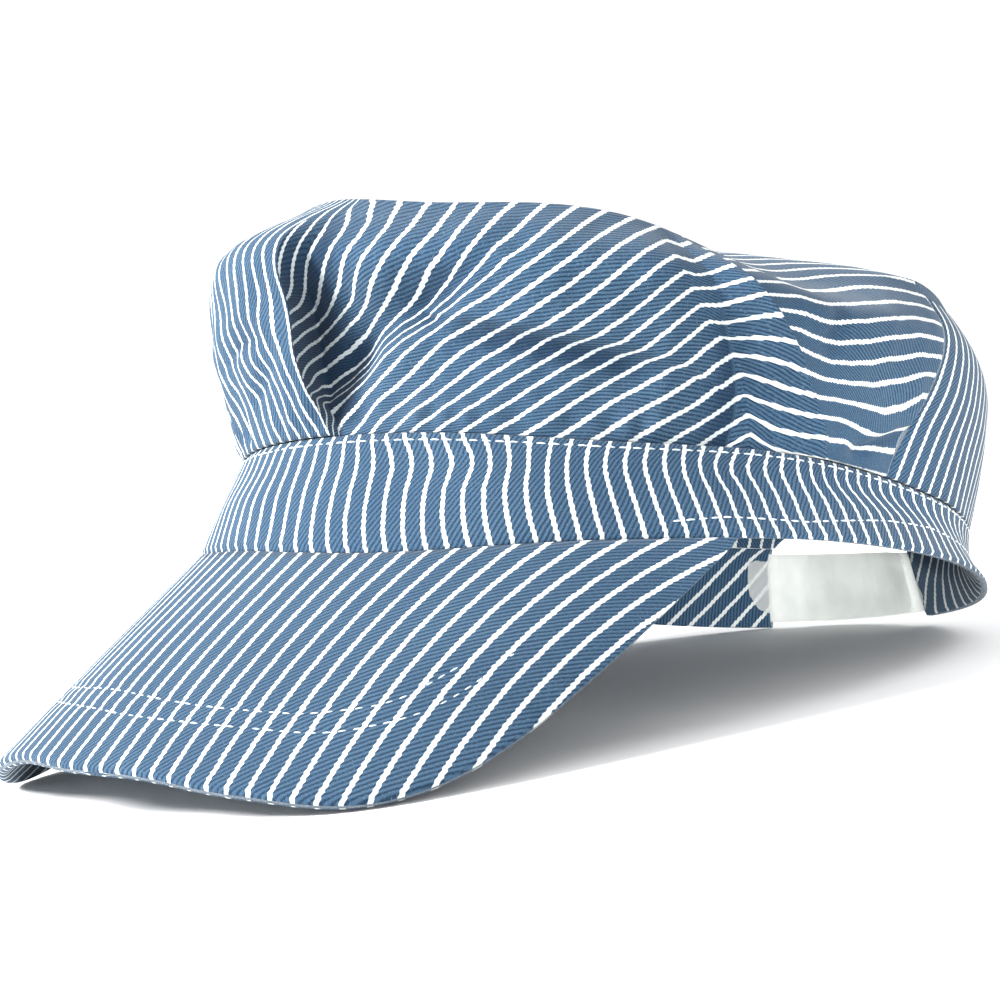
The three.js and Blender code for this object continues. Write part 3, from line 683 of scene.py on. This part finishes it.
# Painted shade in the hollows of the near side's folds and in the tuck: how much, over how many degrees
# beside the fold, and where it ends
POCKET_SHADE = 1.5
POCKET_DEG = 7
VALLEY_SHADE = 0.9
VALLEY_DEG = 5
VALLEY_TOP = 0.75
VALLEY_FADE = 0.3
TUCK_SHADE = 0.8
SHADE_FADE_LOW = 0.15
SHADE_FADE_HIGH = 0.35
# Crease relief in millimetres per step of painted shade: ridges that stand out are painted lighter
RELIEF_PER_SHADE = 2.6


def painted_fold_shade(lines, angle, height, relief):
    """Painted light and shade from the folds: -1 on the ridges, painted lighter, to 1 in the hollows,
    painted darker.
    """
    pocket = line_angle(NEAR_SIDE, height)
    valley = line_angle(REAR_ROLL, height)
    side = lines == NEAR_SIDE
    open_end = ease(height / SHADE_FADE_LOW) * ease((1 - height) / SHADE_FADE_HIGH)
    valley_end = ease((VALLEY_TOP - height) / VALLEY_FADE)
    hollow = POCKET_SHADE * np.exp(-((angle - pocket) / POCKET_DEG) ** 2) * side * open_end
    hollow = hollow + VALLEY_SHADE * np.exp(-((angle - valley) / VALLEY_DEG) ** 2) * side * valley_end
    hollow = hollow + TUCK_SHADE * (lines == NEAR_TUCK) * open_end
    return np.clip(hollow - relief / RELIEF_PER_SHADE, -1, 1)


def on_near_side(lines):
    return (lines >= NEAR_SIDE) & (lines <= REAR_PIECE)


def crown_relief(lines, shares, angle, high):
    """How far the near side's creases, the front panel's pinch and the rear seam's lap stand out."""
    relief = crease_relief(CREASES, angle, high) * on_near_side(lines)
    front = (lines == FRONT_PANEL) * ease((line_angle(NEAR_TUCK, high) - angle) / FRONT_EDGE_DEG)
    relief += crease_relief(FRONT_CREASES, angle, high) * front
    relief += SEAM_LAP * (lines == REAR_ROLL) * ease(shares) * ease((high - SEAM_LAP_FROM) / SEAM_LAP_RISE)
    return relief


def gathers(angle, high):
    """Gathers above the band and soft wrinkles all round the wall."""
    uneven = GATHER_SWAY * np.sin(angle * GATHER_SWAY_TURN)
    gather = GATHER * np.sin(angle * GATHER_TURN + uneven) * ease(1 - high / GATHER_SHARE)
    arc = angle * ARC_PER_DEG
    rise = high * RISE_PER_HEIGHT
    wrinkle = WRINKLE * smooth_noise(WRINKLE_SEED, arc, rise, WRINKLE_LENGTH)
    return gather + wrinkle + PUCKER * smooth_noise(PUCKER_SEED, arc, rise, PUCKER_LENGTH)


def domed_top(shoulder, centre, ring):
    """Rings of points inside the shoulder, each at a share of the way out from the centre."""
    plan = centre[:2] + (shoulder[:, :2] - centre[:2])[None] * ring[..., None]
    dome = TOP_DOME * (1 - ring ** TOP_FLATNESS)
    tall = centre[2] + (shoulder[:, 2] - centre[2])[None] * ring ** 2 + dome
    wave = TOP_WAVE * smooth_noise(TOP_SEED, plan[..., 0], plan[..., 1], TOP_WAVE_LENGTH)
    tall += wave * ease((1 - ring) / TOP_WAVE_SHARE)
    return np.concatenate([plan, tall[..., None]], -1)


def wall_count(lines, shares, angle, high, plain):
    """Stripes counted over the wall: as laid on the near side, front panel and tuck, plain elsewhere."""
    side = near_lay(lines, angle, high)
    front = front_lay(angle, high, line_angle(NEAR_TUCK, high))
    ridge = front[:, lines == NEAR_TUCK][:, :1]
    valley = side[:, lines == NEAR_SIDE][:, :1]
    opens = ease((high - TUCK_OPENS) / (1 - TUCK_OPENS))
    shown = TUCK_STRIPES + (valley - ridge - TUCK_STRIPES) * opens
    tuck = np.where(shares > 0, valley - shown * (1 - shares), ridge)
    count = np.where(on_near_side(lines), side, plain)
    count = np.where(lines == FRONT_PANEL, front, count)
    return np.where(lines == NEAR_TUCK, tuck, count)


def build_crown():
    height = np.linspace(0, 1, WALL_STEPS + 1)
    lines, shares, angle, depth, lean = crown_fields(height)
    high = height[:, None]
    fade = ease(high / FADE_LOW) * ease((1 - high) / FADE_HIGH)
    relief = crown_relief(lines, shares, angle, high)
    depth = depth - fade * (relief + gathers(angle, high))
    outer = wall_point(angle, high, depth)
    tucked = (lines == NEAR_TUCK) | np.roll(lines == NEAR_TUCK, 1)
    inner = wall_point(angle - TUCK_BEHIND_DEG * tucked, high, depth + CROWN_WALL)
    shoulder = outer[-1]
    centre = shoulder.mean(0)
    ring = np.linspace(1, TOP_INNER_RING, TOP_STEPS + 1)[1:, None]
    top = domed_top(shoulder, centre, ring)

    climb = np.linalg.norm(np.diff(outer, axis=0, prepend=outer[:1]), axis=-1).cumsum(0)
    below = climb[-1] - climb
    straight = shoulder[:, 0] / STRIPE_PITCH + TOP_FIRST_STRIPE
    count = wall_count(lines, shares, angle, high, straight + below * np.sin(lean) / STRIPE_PITCH)
    ahead = (count[-1] - straight) * (1 - ease((1 - ring) / TOP_SETTLE))
    count = np.concatenate([count, top[..., 0] / STRIPE_PITCH + TOP_FIRST_STRIPE + ahead])
    lengthwise = np.concatenate([shoulder[:, 1] - below * np.cos(lean), top[..., 1]])
    # Third cloth value: painted shade in the fold hollows, painted light on the ridges
    hollow = np.concatenate([painted_fold_shade(lines, angle, high, relief * fade), np.zeros(top.shape[:2])])
    fabric = np.stack([(count + 0.5) * STRIPE_PITCH, lengthwise, hollow], -1)

    outer = np.concatenate([outer, top])
    inner = np.concatenate([inner, top - np.array([0, 0, CROWN_WALL])])
    mask = np.ones((len(outer) - 1, len(lines)), bool)
    mask[: int(round(WALL_STEPS * BACK_TOP)), lines == REAR_SEAM_LEFT] = False
    tip = np.array([centre + [0, 0, TOP_DOME], centre + [0, 0, TOP_DOME - CROWN_WALL]])
    tip_cloth = np.array([[centre[0] + (TOP_FIRST_STRIPE + 0.5) * STRIPE_PITCH, centre[1], 0]] * 2)
    return shell("crown_cloth", outer, inner, fabric, fabric, mask, closed=True, pole=(tip, tip_cloth))


# Back panel
BACK_WIDTH = 190.0
BACK_ARCH_ROWS = 8
BACK_ROWS = 34
BACK_SIDE_STEPS = 44
BACK_ARCH_STEPS = 30
BACK_SWELL = 0.05
BACK_WAVE = 0.5
BACK_WAVE_LENGTH = 34
BACK_SEED = 11
STRIPE_WANDER = 1.2
STRIPE_WANDER_LENGTH = 40
STRIPE_SEED = 17


def build_back_panel():
    crest = ARCH_RISE / (CROWN_RISE * crown_rise(180.0))
    height = np.concatenate([np.linspace(0, crest, BACK_ARCH_ROWS + 1)[:-1],
                             np.linspace(crest, BACK_TOP, BACK_ROWS)])
    left = line_angle(REAR_SEAM_LEFT, height)[:, None]
    right = line_angle(REAR_SEAM_RIGHT, height)[:, None]
    half = opening_half(wall_point(180.0, np.minimum(height, crest), 0.0)[..., 2])[:, None]
    share = np.linspace(0, 1, BACK_SIDE_STEPS + 1)[None, :]
    middle = np.linspace(0, 1, BACK_ARCH_STEPS + 1)[None, :-1]
    angle = np.concatenate([
        left + (180 - half - left) * share[:, :-1],
        180 - half + 2 * half * middle,
        180 + half + (right - 180 - half) * share,
    ], 1)
    part = (angle - left) / (right - left)
    high = height[:, None]
    rise = high * RISE_PER_HEIGHT
    swell = FOLD_DEPTH * BACK_SWELL * np.sin(np.pi * high) * np.sin(np.pi * part)
    wave = BACK_WAVE * smooth_noise(BACK_SEED, angle * ARC_PER_DEG, rise, BACK_WAVE_LENGTH)
    wave *= np.sin(np.pi * part)
    outer = wall_point(angle, high, -swell - wave)
    inner = wall_point(angle, high, CROWN_WALL - swell - wave)
    across = part * BACK_WIDTH
    across = across + STRIPE_WANDER * smooth_noise(STRIPE_SEED, across, rise, STRIPE_WANDER_LENGTH)
    climb = np.linalg.norm(np.diff(outer, axis=0, prepend=outer[:1]), axis=-1).cumsum(0)
    fabric = np.stack([across, climb, np.zeros(climb.shape)], -1)
    mask = np.ones((len(height) - 1, angle.shape[1]), bool)
    mask[:BACK_ARCH_ROWS, BACK_SIDE_STEPS:BACK_SIDE_STEPS + BACK_ARCH_STEPS] = False
    return shell("back_panel_cloth", outer, inner, fabric, fabric, mask)


# Stitches
STITCH_LENGTH = 2.2
STITCH_SPACE = 2.75
STITCH_RADIUS = 0.20
STITCH_SIDES = 6
STITCH_STEPS = 6
# Shares of the radius: thickness at a stitch's ends, and how far it rises and lies sunk
STITCH_END = 0.6
STITCH_BOW = 1.3
STITCH_SINK = 0.9
BAND_ROW_POINTS = 500
HEM_ROW_POINTS = 200
PEAK_ROW_POINTS = 400
PEAK_ROW_SIDE = 0.995
PEAK_ROW_EDGE = 0.02
BAND_TOP_ROW = 0.935
# Height of the hem's stitches on the band, by angle from the front
HEM_ROW = [(57, 0.17), (65, 0.22), (77, 0.20), (84, 0.27),
           (93, 0.38), (104, 0.48), (125, 0.42), (160, 0.32)]


def lay_stitches(name, rows):
    """Short threads along rows of points and normals, each dipping into the cloth at both ends."""
    share = np.linspace(0, 1, STITCH_STEPS + 1)
    bow = np.sin(np.pi * share)
    radius = STITCH_RADIUS * (STITCH_END + (1 - STITCH_END) * bow)
    lift = STITCH_RADIUS * (STITCH_BOW * bow - STITCH_SINK)
    turn = np.arange(STITCH_SIDES) * 2 * np.pi / STITCH_SIDES
    vertices = []
    faces = []
    for points, normals in rows:
        place = running_length(points[None])[0]
        for start in np.arange(STITCH_SPACE / 2, place[-1] - STITCH_LENGTH, STITCH_SPACE):
            spot = start + STITCH_LENGTH * share
            centre = np.stack([np.interp(spot, place, points[:, i]) for i in range(3)], -1)
            above = np.stack([np.interp(spot, place, normals[:, i]) for i in range(3)], -1)
            above /= np.linalg.norm(above, axis=-1, keepdims=True)
            forward = centre[-1] - centre[0]
            sideways = np.cross(forward / np.linalg.norm(forward), above)
            centre += above * lift[:, None]
            offset = (sideways[:, None] * np.cos(turn)[:, None] + above[:, None] * np.sin(turn)[:, None])
            first = len(vertices) * (STITCH_STEPS + 1) * STITCH_SIDES
            vertices.append((centre[:, None] + offset * radius[:, None, None]).reshape(-1, 3))
            for k in range(STITCH_STEPS):
                for i in range(STITCH_SIDES):
                    a = first + k * STITCH_SIDES + i
                    b = first + k * STITCH_SIDES + (i + 1) % STITCH_SIDES
                    faces.append([a, b, b + STITCH_SIDES, a + STITCH_SIDES])
            end = first + STITCH_STEPS * STITCH_SIDES
            faces.append([first + i for i in reversed(range(STITCH_SIDES))])
            faces.append([end + i for i in range(STITCH_SIDES)])
    return make_mesh(name, np.concatenate(vertices), faces)


def band_row(degrees, height):
    """A row on the band as points and outward normals."""
    points = band_surface(degrees, height)[0]
    normals = np.concatenate([rim(degrees)[1], band_lean(degrees)[:, None]], -1)
    return points, normals


def build_band_stitches():
    end = float(band_end()[-2, 0]) - 1
    degrees = np.linspace(-end, end, BAND_ROW_POINTS)
    rows = [band_row(degrees, np.full(degrees.shape, BAND_TOP_ROW))]
    angle, height = np.array(HEM_ROW).T
    degrees = np.linspace(angle[0], angle[-1], HEM_ROW_POINTS)
    for mirror in (1, -1):
        rows.append(band_row(mirror * degrees, np.interp(degrees, angle, height)))
    return lay_stitches("band_stitching", rows)


def build_peak_stitches():
    side = np.linspace(-PEAK_ROW_SIDE, PEAK_ROW_SIDE, PEAK_ROW_POINTS)
    across, root_down, length = peak_developed(side)
    normals = peak_normal(side)
    rows = []
    for row in PEAK_STITCH_ROWS:
        place, down = np.array(row).T
        inside = (across >= place[0]) & (across <= place[-1])
        outward = (along(place, down, across) - root_down) / length
        inside &= (outward > PEAK_ROW_EDGE) & (outward < 1 - PEAK_ROW_EDGE)
        points = peak_top(side[inside], outward[inside]) - normals[inside] * PEAK_SINK
        rows.append((points, normals[inside]))
    return lay_stitches("peak_stitching", rows)


# Materials
def new_material(name):
    material = bpy.data.materials.new(name)
    material.use_nodes = True
    material.node_tree.nodes.clear()
    return material, material.node_tree


def join(tree, value, socket):
    """Link an output to a socket, or set a plain value on it."""
    if hasattr(value, "is_output"):
        tree.links.new(value, socket)
    else:
        socket.default_value = value


def math_node(tree, operation, *values):
    node = tree.nodes.new("ShaderNodeMath")
    node.operation = operation
    for value, socket in zip(values, node.inputs):
        join(tree, value, socket)
    return node.outputs[0]


def mix_colour(tree, share, first, second):
    node = tree.nodes.new("ShaderNodeMix")
    node.data_type = "RGBA"
    for value, socket in zip((share, first, second), (node.inputs[0], node.inputs[6], node.inputs[7])):
        join(tree, value, socket)
    return node.outputs[2]


def smooth_step(tree, low, high, value):
    node = tree.nodes.new("ShaderNodeMapRange")
    node.interpolation_type = "SMOOTHSTEP"
    node.inputs["From Min"].default_value = low
    node.inputs["From Max"].default_value = high
    tree.links.new(value, node.inputs["Value"])
    return node.outputs["Result"]


def noise(tree, vector, scale, detail=2.0, roughness=0.5):
    node = tree.nodes.new("ShaderNodeTexNoise")
    node.inputs["Scale"].default_value = scale
    node.inputs["Detail"].default_value = detail
    node.inputs["Roughness"].default_value = roughness
    tree.links.new(vector, node.inputs["Vector"])
    return node.outputs["Fac"]


def principled(tree, colour, roughness):
    shader = tree.nodes.new("ShaderNodeBsdfPrincipled")
    shader.inputs["Roughness"].default_value = roughness
    join(tree, colour, shader.inputs["Base Color"])
    return shader


def to_output(tree, shader):
    output = tree.nodes.new("ShaderNodeOutputMaterial")
    tree.links.new(shader.outputs[0], output.inputs[0])


# The weave in millimetres, and the stripe's half width and edge as shares of its pitch
TWILL_PITCH = 0.88
TWILL_DEG = 52
THREAD_PITCH = 0.36
THREAD_WANDER = 0.5
STRIPE_HALF = 0.108
STRIPE_SOFTNESS = 0.012
STRIPE_JAG = 0.10
STRIPE_FRAY = 0.05
# Noise scales on the cloth, in waves a millimetre
WANDER_SCALE = 0.35
FRAY_SCALE = 2.2
WEAR_SCALE = 0.03
FLECK_SCALE = 3.0
# Ranges over which each effect comes in. A twill rib runs from 0 at its ridge to 0.5 in its groove.
WORN = (0.35, 0.75)
# Range of the painted shade in the fold hollows
PAINTED_SHADE_RANGE = (0.1, 1.0)
RIB_SHADE = (0.14, 0.42)
RIB_GROOVE = (0.3, 0.5)
RIB_RISE = (0.45, 0.1)
FLECKED = (0.52, 0.74)
THREADED = (0.3, 0.5)
# How much of each colour the flecks and threads bring in, and the painted shade in the fold hollows and in
# the white stripes' twill grooves
FLECK_PALE = 0.55
THREAD_PALE = 0.12
HOLLOW_SHADE_BLUE = 0.75
HOLLOW_SHADE_WHITE = 0.6
GROOVE_WHITE = 0.35
# Shares of the bump's height, which is in metres
RIB_BUMP = 0.7
FLECK_BUMP = 0.5
BUMP_HEIGHT = 0.00022
# Painted shade: the blue in the fold hollows
BLUE_PAINTED_SHADE = (0.006, 0.018, 0.042, 1)
BLUE_DEEP = (0.010, 0.027, 0.056, 1)
BLUE_MIDDLE = (0.034, 0.075, 0.130, 1)
# Faded blue of real worn patches, also painted light on the fold ridges
BLUE_FADED_AND_LIT = (0.048, 0.096, 0.155, 1)
BLUE_PALE = (0.120, 0.195, 0.265, 1)
WHITE_THREAD = (0.60, 0.63, 0.62, 1)
WHITE_SHADED = (0.34, 0.40, 0.44, 1)
THREAD_SOILED = (0.46, 0.53, 0.58, 1)
STRAP_WHITE = (0.90, 0.915, 0.90, 1)
STRAP_SCUFFED = (0.82, 0.84, 0.82, 1)
STRAP_MILKY = 0.6
# Noise scales on the thread and the strap, in waves a metre
THREAD_SCALE = 260
SCUFF_SCALE = 90


def striped_twill(name):
    material, tree = new_material(name)
    cloth = tree.nodes.new("ShaderNodeAttribute")
    cloth.attribute_name = "fabric"
    split = tree.nodes.new("ShaderNodeSeparateXYZ")
    tree.links.new(cloth.outputs["Vector"], split.inputs[0])
    # The cloth's third value is painted shade, 1 in the fold hollows, down to -1 for painted light on the
    # ridges
    across, lengthwise, hollow = split.outputs

    def scaled(value, size):
        return math_node(tree, "MULTIPLY", value, size)

    def waver(scale, size):
        """Noise of the given size about zero."""
        return scaled(math_node(tree, "SUBTRACT", noise(tree, cloth.outputs["Vector"], scale), 0.5), size)

    def from_middle(places):
        """Distance from the middle of each repeat, 0 to half."""
        share = math_node(tree, "FRACT", places)
        return math_node(tree, "ABSOLUTE", math_node(tree, "SUBTRACT", share, 0.5))

    across = math_node(tree, "ADD", across, waver(WANDER_SCALE, THREAD_WANDER))
    turn = math.radians(TWILL_DEG)
    ridge = from_middle(math_node(tree, "SUBTRACT", scaled(across, math.sin(turn) / TWILL_PITCH),
                                  scaled(lengthwise, math.cos(turn) / TWILL_PITCH)))
    thread = from_middle(scaled(across, 1 / THREAD_PITCH))
    centred = from_middle(scaled(across, 1 / STRIPE_PITCH))
    jag = scaled(math_node(tree, "SUBTRACT", ridge, 0.25), STRIPE_JAG)
    edge = math_node(tree, "ADD", centred, math_node(tree, "ADD", jag, waver(FRAY_SCALE, STRIPE_FRAY)))
    stripe = smooth_step(tree, STRIPE_HALF + STRIPE_SOFTNESS, STRIPE_HALF - STRIPE_SOFTNESS, edge)
    patch = noise(tree, cloth.outputs["Vector"], WEAR_SCALE, detail=3.0)
    fleck = noise(tree, cloth.outputs["Vector"], FLECK_SCALE, roughness=0.7)
    # Real worn patches, plus painted light on the fold ridges and less fading in the hollows as painted
    # shade
    worn = math_node(tree, "SUBTRACT", smooth_step(tree, *WORN, patch), hollow)
    # Painted shade in the fold hollows
    painted_shade = smooth_step(tree, *PAINTED_SHADE_RANGE, hollow)
    base = mix_colour(tree, worn, BLUE_MIDDLE, BLUE_FADED_AND_LIT)
    base = mix_colour(tree, smooth_step(tree, *RIB_SHADE, ridge), base, BLUE_DEEP)
    base = mix_colour(tree, scaled(smooth_step(tree, *FLECKED, fleck), FLECK_PALE), base, BLUE_PALE)
    base = mix_colour(tree, scaled(smooth_step(tree, *THREADED, thread), THREAD_PALE), base, BLUE_PALE)
    # Blue darkened in the fold hollows as painted shade
    base = mix_colour(tree, scaled(painted_shade, HOLLOW_SHADE_BLUE), base, BLUE_PAINTED_SHADE)
    groove = scaled(smooth_step(tree, *RIB_GROOVE, ridge), GROOVE_WHITE)
    white = mix_colour(tree, groove, WHITE_THREAD, WHITE_SHADED)
    # White stripes greyed in the fold hollows as painted shade
    white = mix_colour(tree, scaled(painted_shade, HOLLOW_SHADE_WHITE), white, WHITE_SHADED)
    colour = mix_colour(tree, stripe, base, white)
    rib = scaled(smooth_step(tree, *RIB_RISE, ridge), RIB_BUMP)
    relief = math_node(tree, "ADD", rib, scaled(fleck, FLECK_BUMP))
    bump = tree.nodes.new("ShaderNodeBump")
    bump.inputs["Strength"].default_value = 0.5
    bump.inputs["Distance"].default_value = BUMP_HEIGHT
    tree.links.new(relief, bump.inputs["Height"])
    shader = principled(tree, colour, 0.92)
    shader.inputs["Specular IOR Level"].default_value = 0.1
    shader.inputs["Sheen Weight"].default_value = 0.08
    shader.inputs["Sheen Roughness"].default_value = 0.5
    tree.links.new(bump.outputs[0], shader.inputs["Normal"])
    to_output(tree, shader)
    return material


def plain_material(name, colour, roughness):
    material, tree = new_material(name)
    to_output(tree, principled(tree, colour, roughness))
    return material


def cotton_thread():
    material, tree = new_material("sewing thread")
    place = tree.nodes.new("ShaderNodeTexCoord").outputs["Object"]
    worn = smooth_step(tree, 0.3, 0.7, noise(tree, place, THREAD_SCALE, roughness=0.6))
    to_output(tree, principled(tree, mix_colour(tree, worn, WHITE_THREAD, THREAD_SOILED), 0.8))
    return material


def put_on(obj, material, node=None):
    obj.data.materials.append(material)
    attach(obj, "root")
    if node:
        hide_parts(node)


cloth = striped_twill("striped twill")
put_on(build_band(), cloth, "band")
put_on(build_peak(), cloth, "visor")
put_on(build_crown(), cloth, "crown")
put_on(build_back_panel(), cloth, "back_panel")
thread = cotton_thread()
put_on(build_band_stitches(), thread)
put_on(build_peak_stitches(), thread)


def strap_plastic():
    """Milky plastic that lets some of the light behind it through, with faint scuffs."""
    material, tree = new_material("strap plastic")
    place = tree.nodes.new("ShaderNodeTexCoord").outputs["Object"]
    scuff = noise(tree, place, SCUFF_SCALE, detail=4.0, roughness=0.6)
    colour = mix_colour(tree, smooth_step(tree, 0.35, 0.7, scuff), STRAP_WHITE, STRAP_SCUFFED)
    shader = principled(tree, colour, 0.42)
    glow = tree.nodes.new("ShaderNodeBsdfTranslucent")
    tree.links.new(colour, glow.inputs["Color"])
    blend = tree.nodes.new("ShaderNodeMixShader")
    blend.inputs[0].default_value = STRAP_MILKY
    tree.links.new(shader.outputs[0], blend.inputs[1])
    tree.links.new(glow.outputs[0], blend.inputs[2])
    to_output(tree, blend)
    return material


plastic = strap_plastic()
for name in ("strap_inner", "strap_outer"):
    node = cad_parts[name]
    node.data.materials.clear()
    node.data.materials.append(plastic)

# Floor and light, in metres and watts
FLOOR_HALF = 60.0
CAP_MIDDLE = (0, 0, 0.06)
STRAP_PLACE = (0.010, 0.112, 0.012)
STRAP_LIGHT_PLACE = (0.80, -0.62, 0.045)
STRAP_LIGHT_DEG = 9
STRAP_LIGHT_POWER = 55
WORLD_STRENGTH = 1.1
WHITE = (1, 1, 1, 1)
FLOOR_PALE = (0.92, 0.92, 0.92, 1)
floor_mesh = bpy.data.meshes.new("floor")
floor_mesh.from_pydata([(-FLOOR_HALF, -FLOOR_HALF, 0), (FLOOR_HALF, -FLOOR_HALF, 0),
                        (FLOOR_HALF, FLOOR_HALF, 0), (-FLOOR_HALF, FLOOR_HALF, 0)], [], [(0, 1, 2, 3)])
floor = place_object("floor", floor_mesh)
floor.data.materials.append(plain_material("pale floor", FLOOR_PALE, 0.9))


def aim(obj, place, target):
    obj.location = place
    obj.rotation_euler = (Vector(target) - Vector(place)).to_track_quat("-Z", "Y").to_euler()


def area_light(name, place, size, power):
    light = bpy.data.lights.new(name, "AREA")
    light.shape = "DISK"
    light.size = size
    light.energy = power
    aim(place_object(name, light), place, CAP_MIDDLE)


area_light("key", (-0.45, -1.05, 0.75), 0.4, 46)
area_light("low fill", (1.05, -0.55, 0.22), 0.5, 3)
area_light("rim", (0.3, 1.0, 0.8), 0.6, 5)
spot = bpy.data.lights.new("strap light", "SPOT")
spot.energy = STRAP_LIGHT_POWER
spot.shadow_soft_size = 0.03
spot.spot_size = math.radians(STRAP_LIGHT_DEG)
spot.spot_blend = 0.8
aim(place_object("strap light", spot), STRAP_LIGHT_PLACE, STRAP_PLACE)
world = bpy.data.worlds.new("studio")
world.use_nodes = True
background = world.node_tree.nodes["Background"]
background.inputs["Color"].default_value = WHITE
background.inputs["Strength"].default_value = WORLD_STRENGTH
bpy.context.scene.world = world
bpy.context.scene.view_settings.view_transform = "Standard"

# Camera: where the photograph's stood against the level rim, carried over to the resting cap
CAMERA_AZIMUTH = 47.4
CAMERA_ELEVATION = -8.1
CAMERA_ROLL = 2.5
CAMERA_DISTANCE = 500.0
PIXELS_PER_MM = 4.27
CAMERA_OFFSET = (-24.1, 23.1)
SENSOR_WIDTH = 36
PHOTO_WIDTH = 1000
azimuth, elevation, roll = (math.radians(a) for a in (CAMERA_AZIMUTH, CAMERA_ELEVATION, CAMERA_ROLL))
back = Vector((math.sin(azimuth) * math.cos(elevation),
               -math.cos(azimuth) * math.cos(elevation),
               math.sin(elevation)))
level = Vector((math.cos(azimuth), math.sin(azimuth), 0))
upright = back.cross(level)
right = level * math.cos(roll) + upright * math.sin(roll)
up = upright * math.cos(roll) - level * math.sin(roll)
eye = back * CAMERA_DISTANCE + right * CAMERA_OFFSET[0] + up * CAMERA_OFFSET[1]
rest = Quaternion(REST_TURN).to_matrix()
camera_data = bpy.data.cameras.new("camera")
camera_data.sensor_width = SENSOR_WIDTH
camera_data.lens = PIXELS_PER_MM * CAMERA_DISTANCE / PHOTO_WIDTH * SENSOR_WIDTH
camera_data.clip_start = 0.01
camera = place_object("camera", camera_data)
turned = rest @ Matrix((right, up, back)).transposed()
camera.matrix_world = Matrix.Translation((rest @ eye + Vector(REST_SHIFT)) / 1000) @ turned.to_4x4()
bpy.context.scene.camera = camera
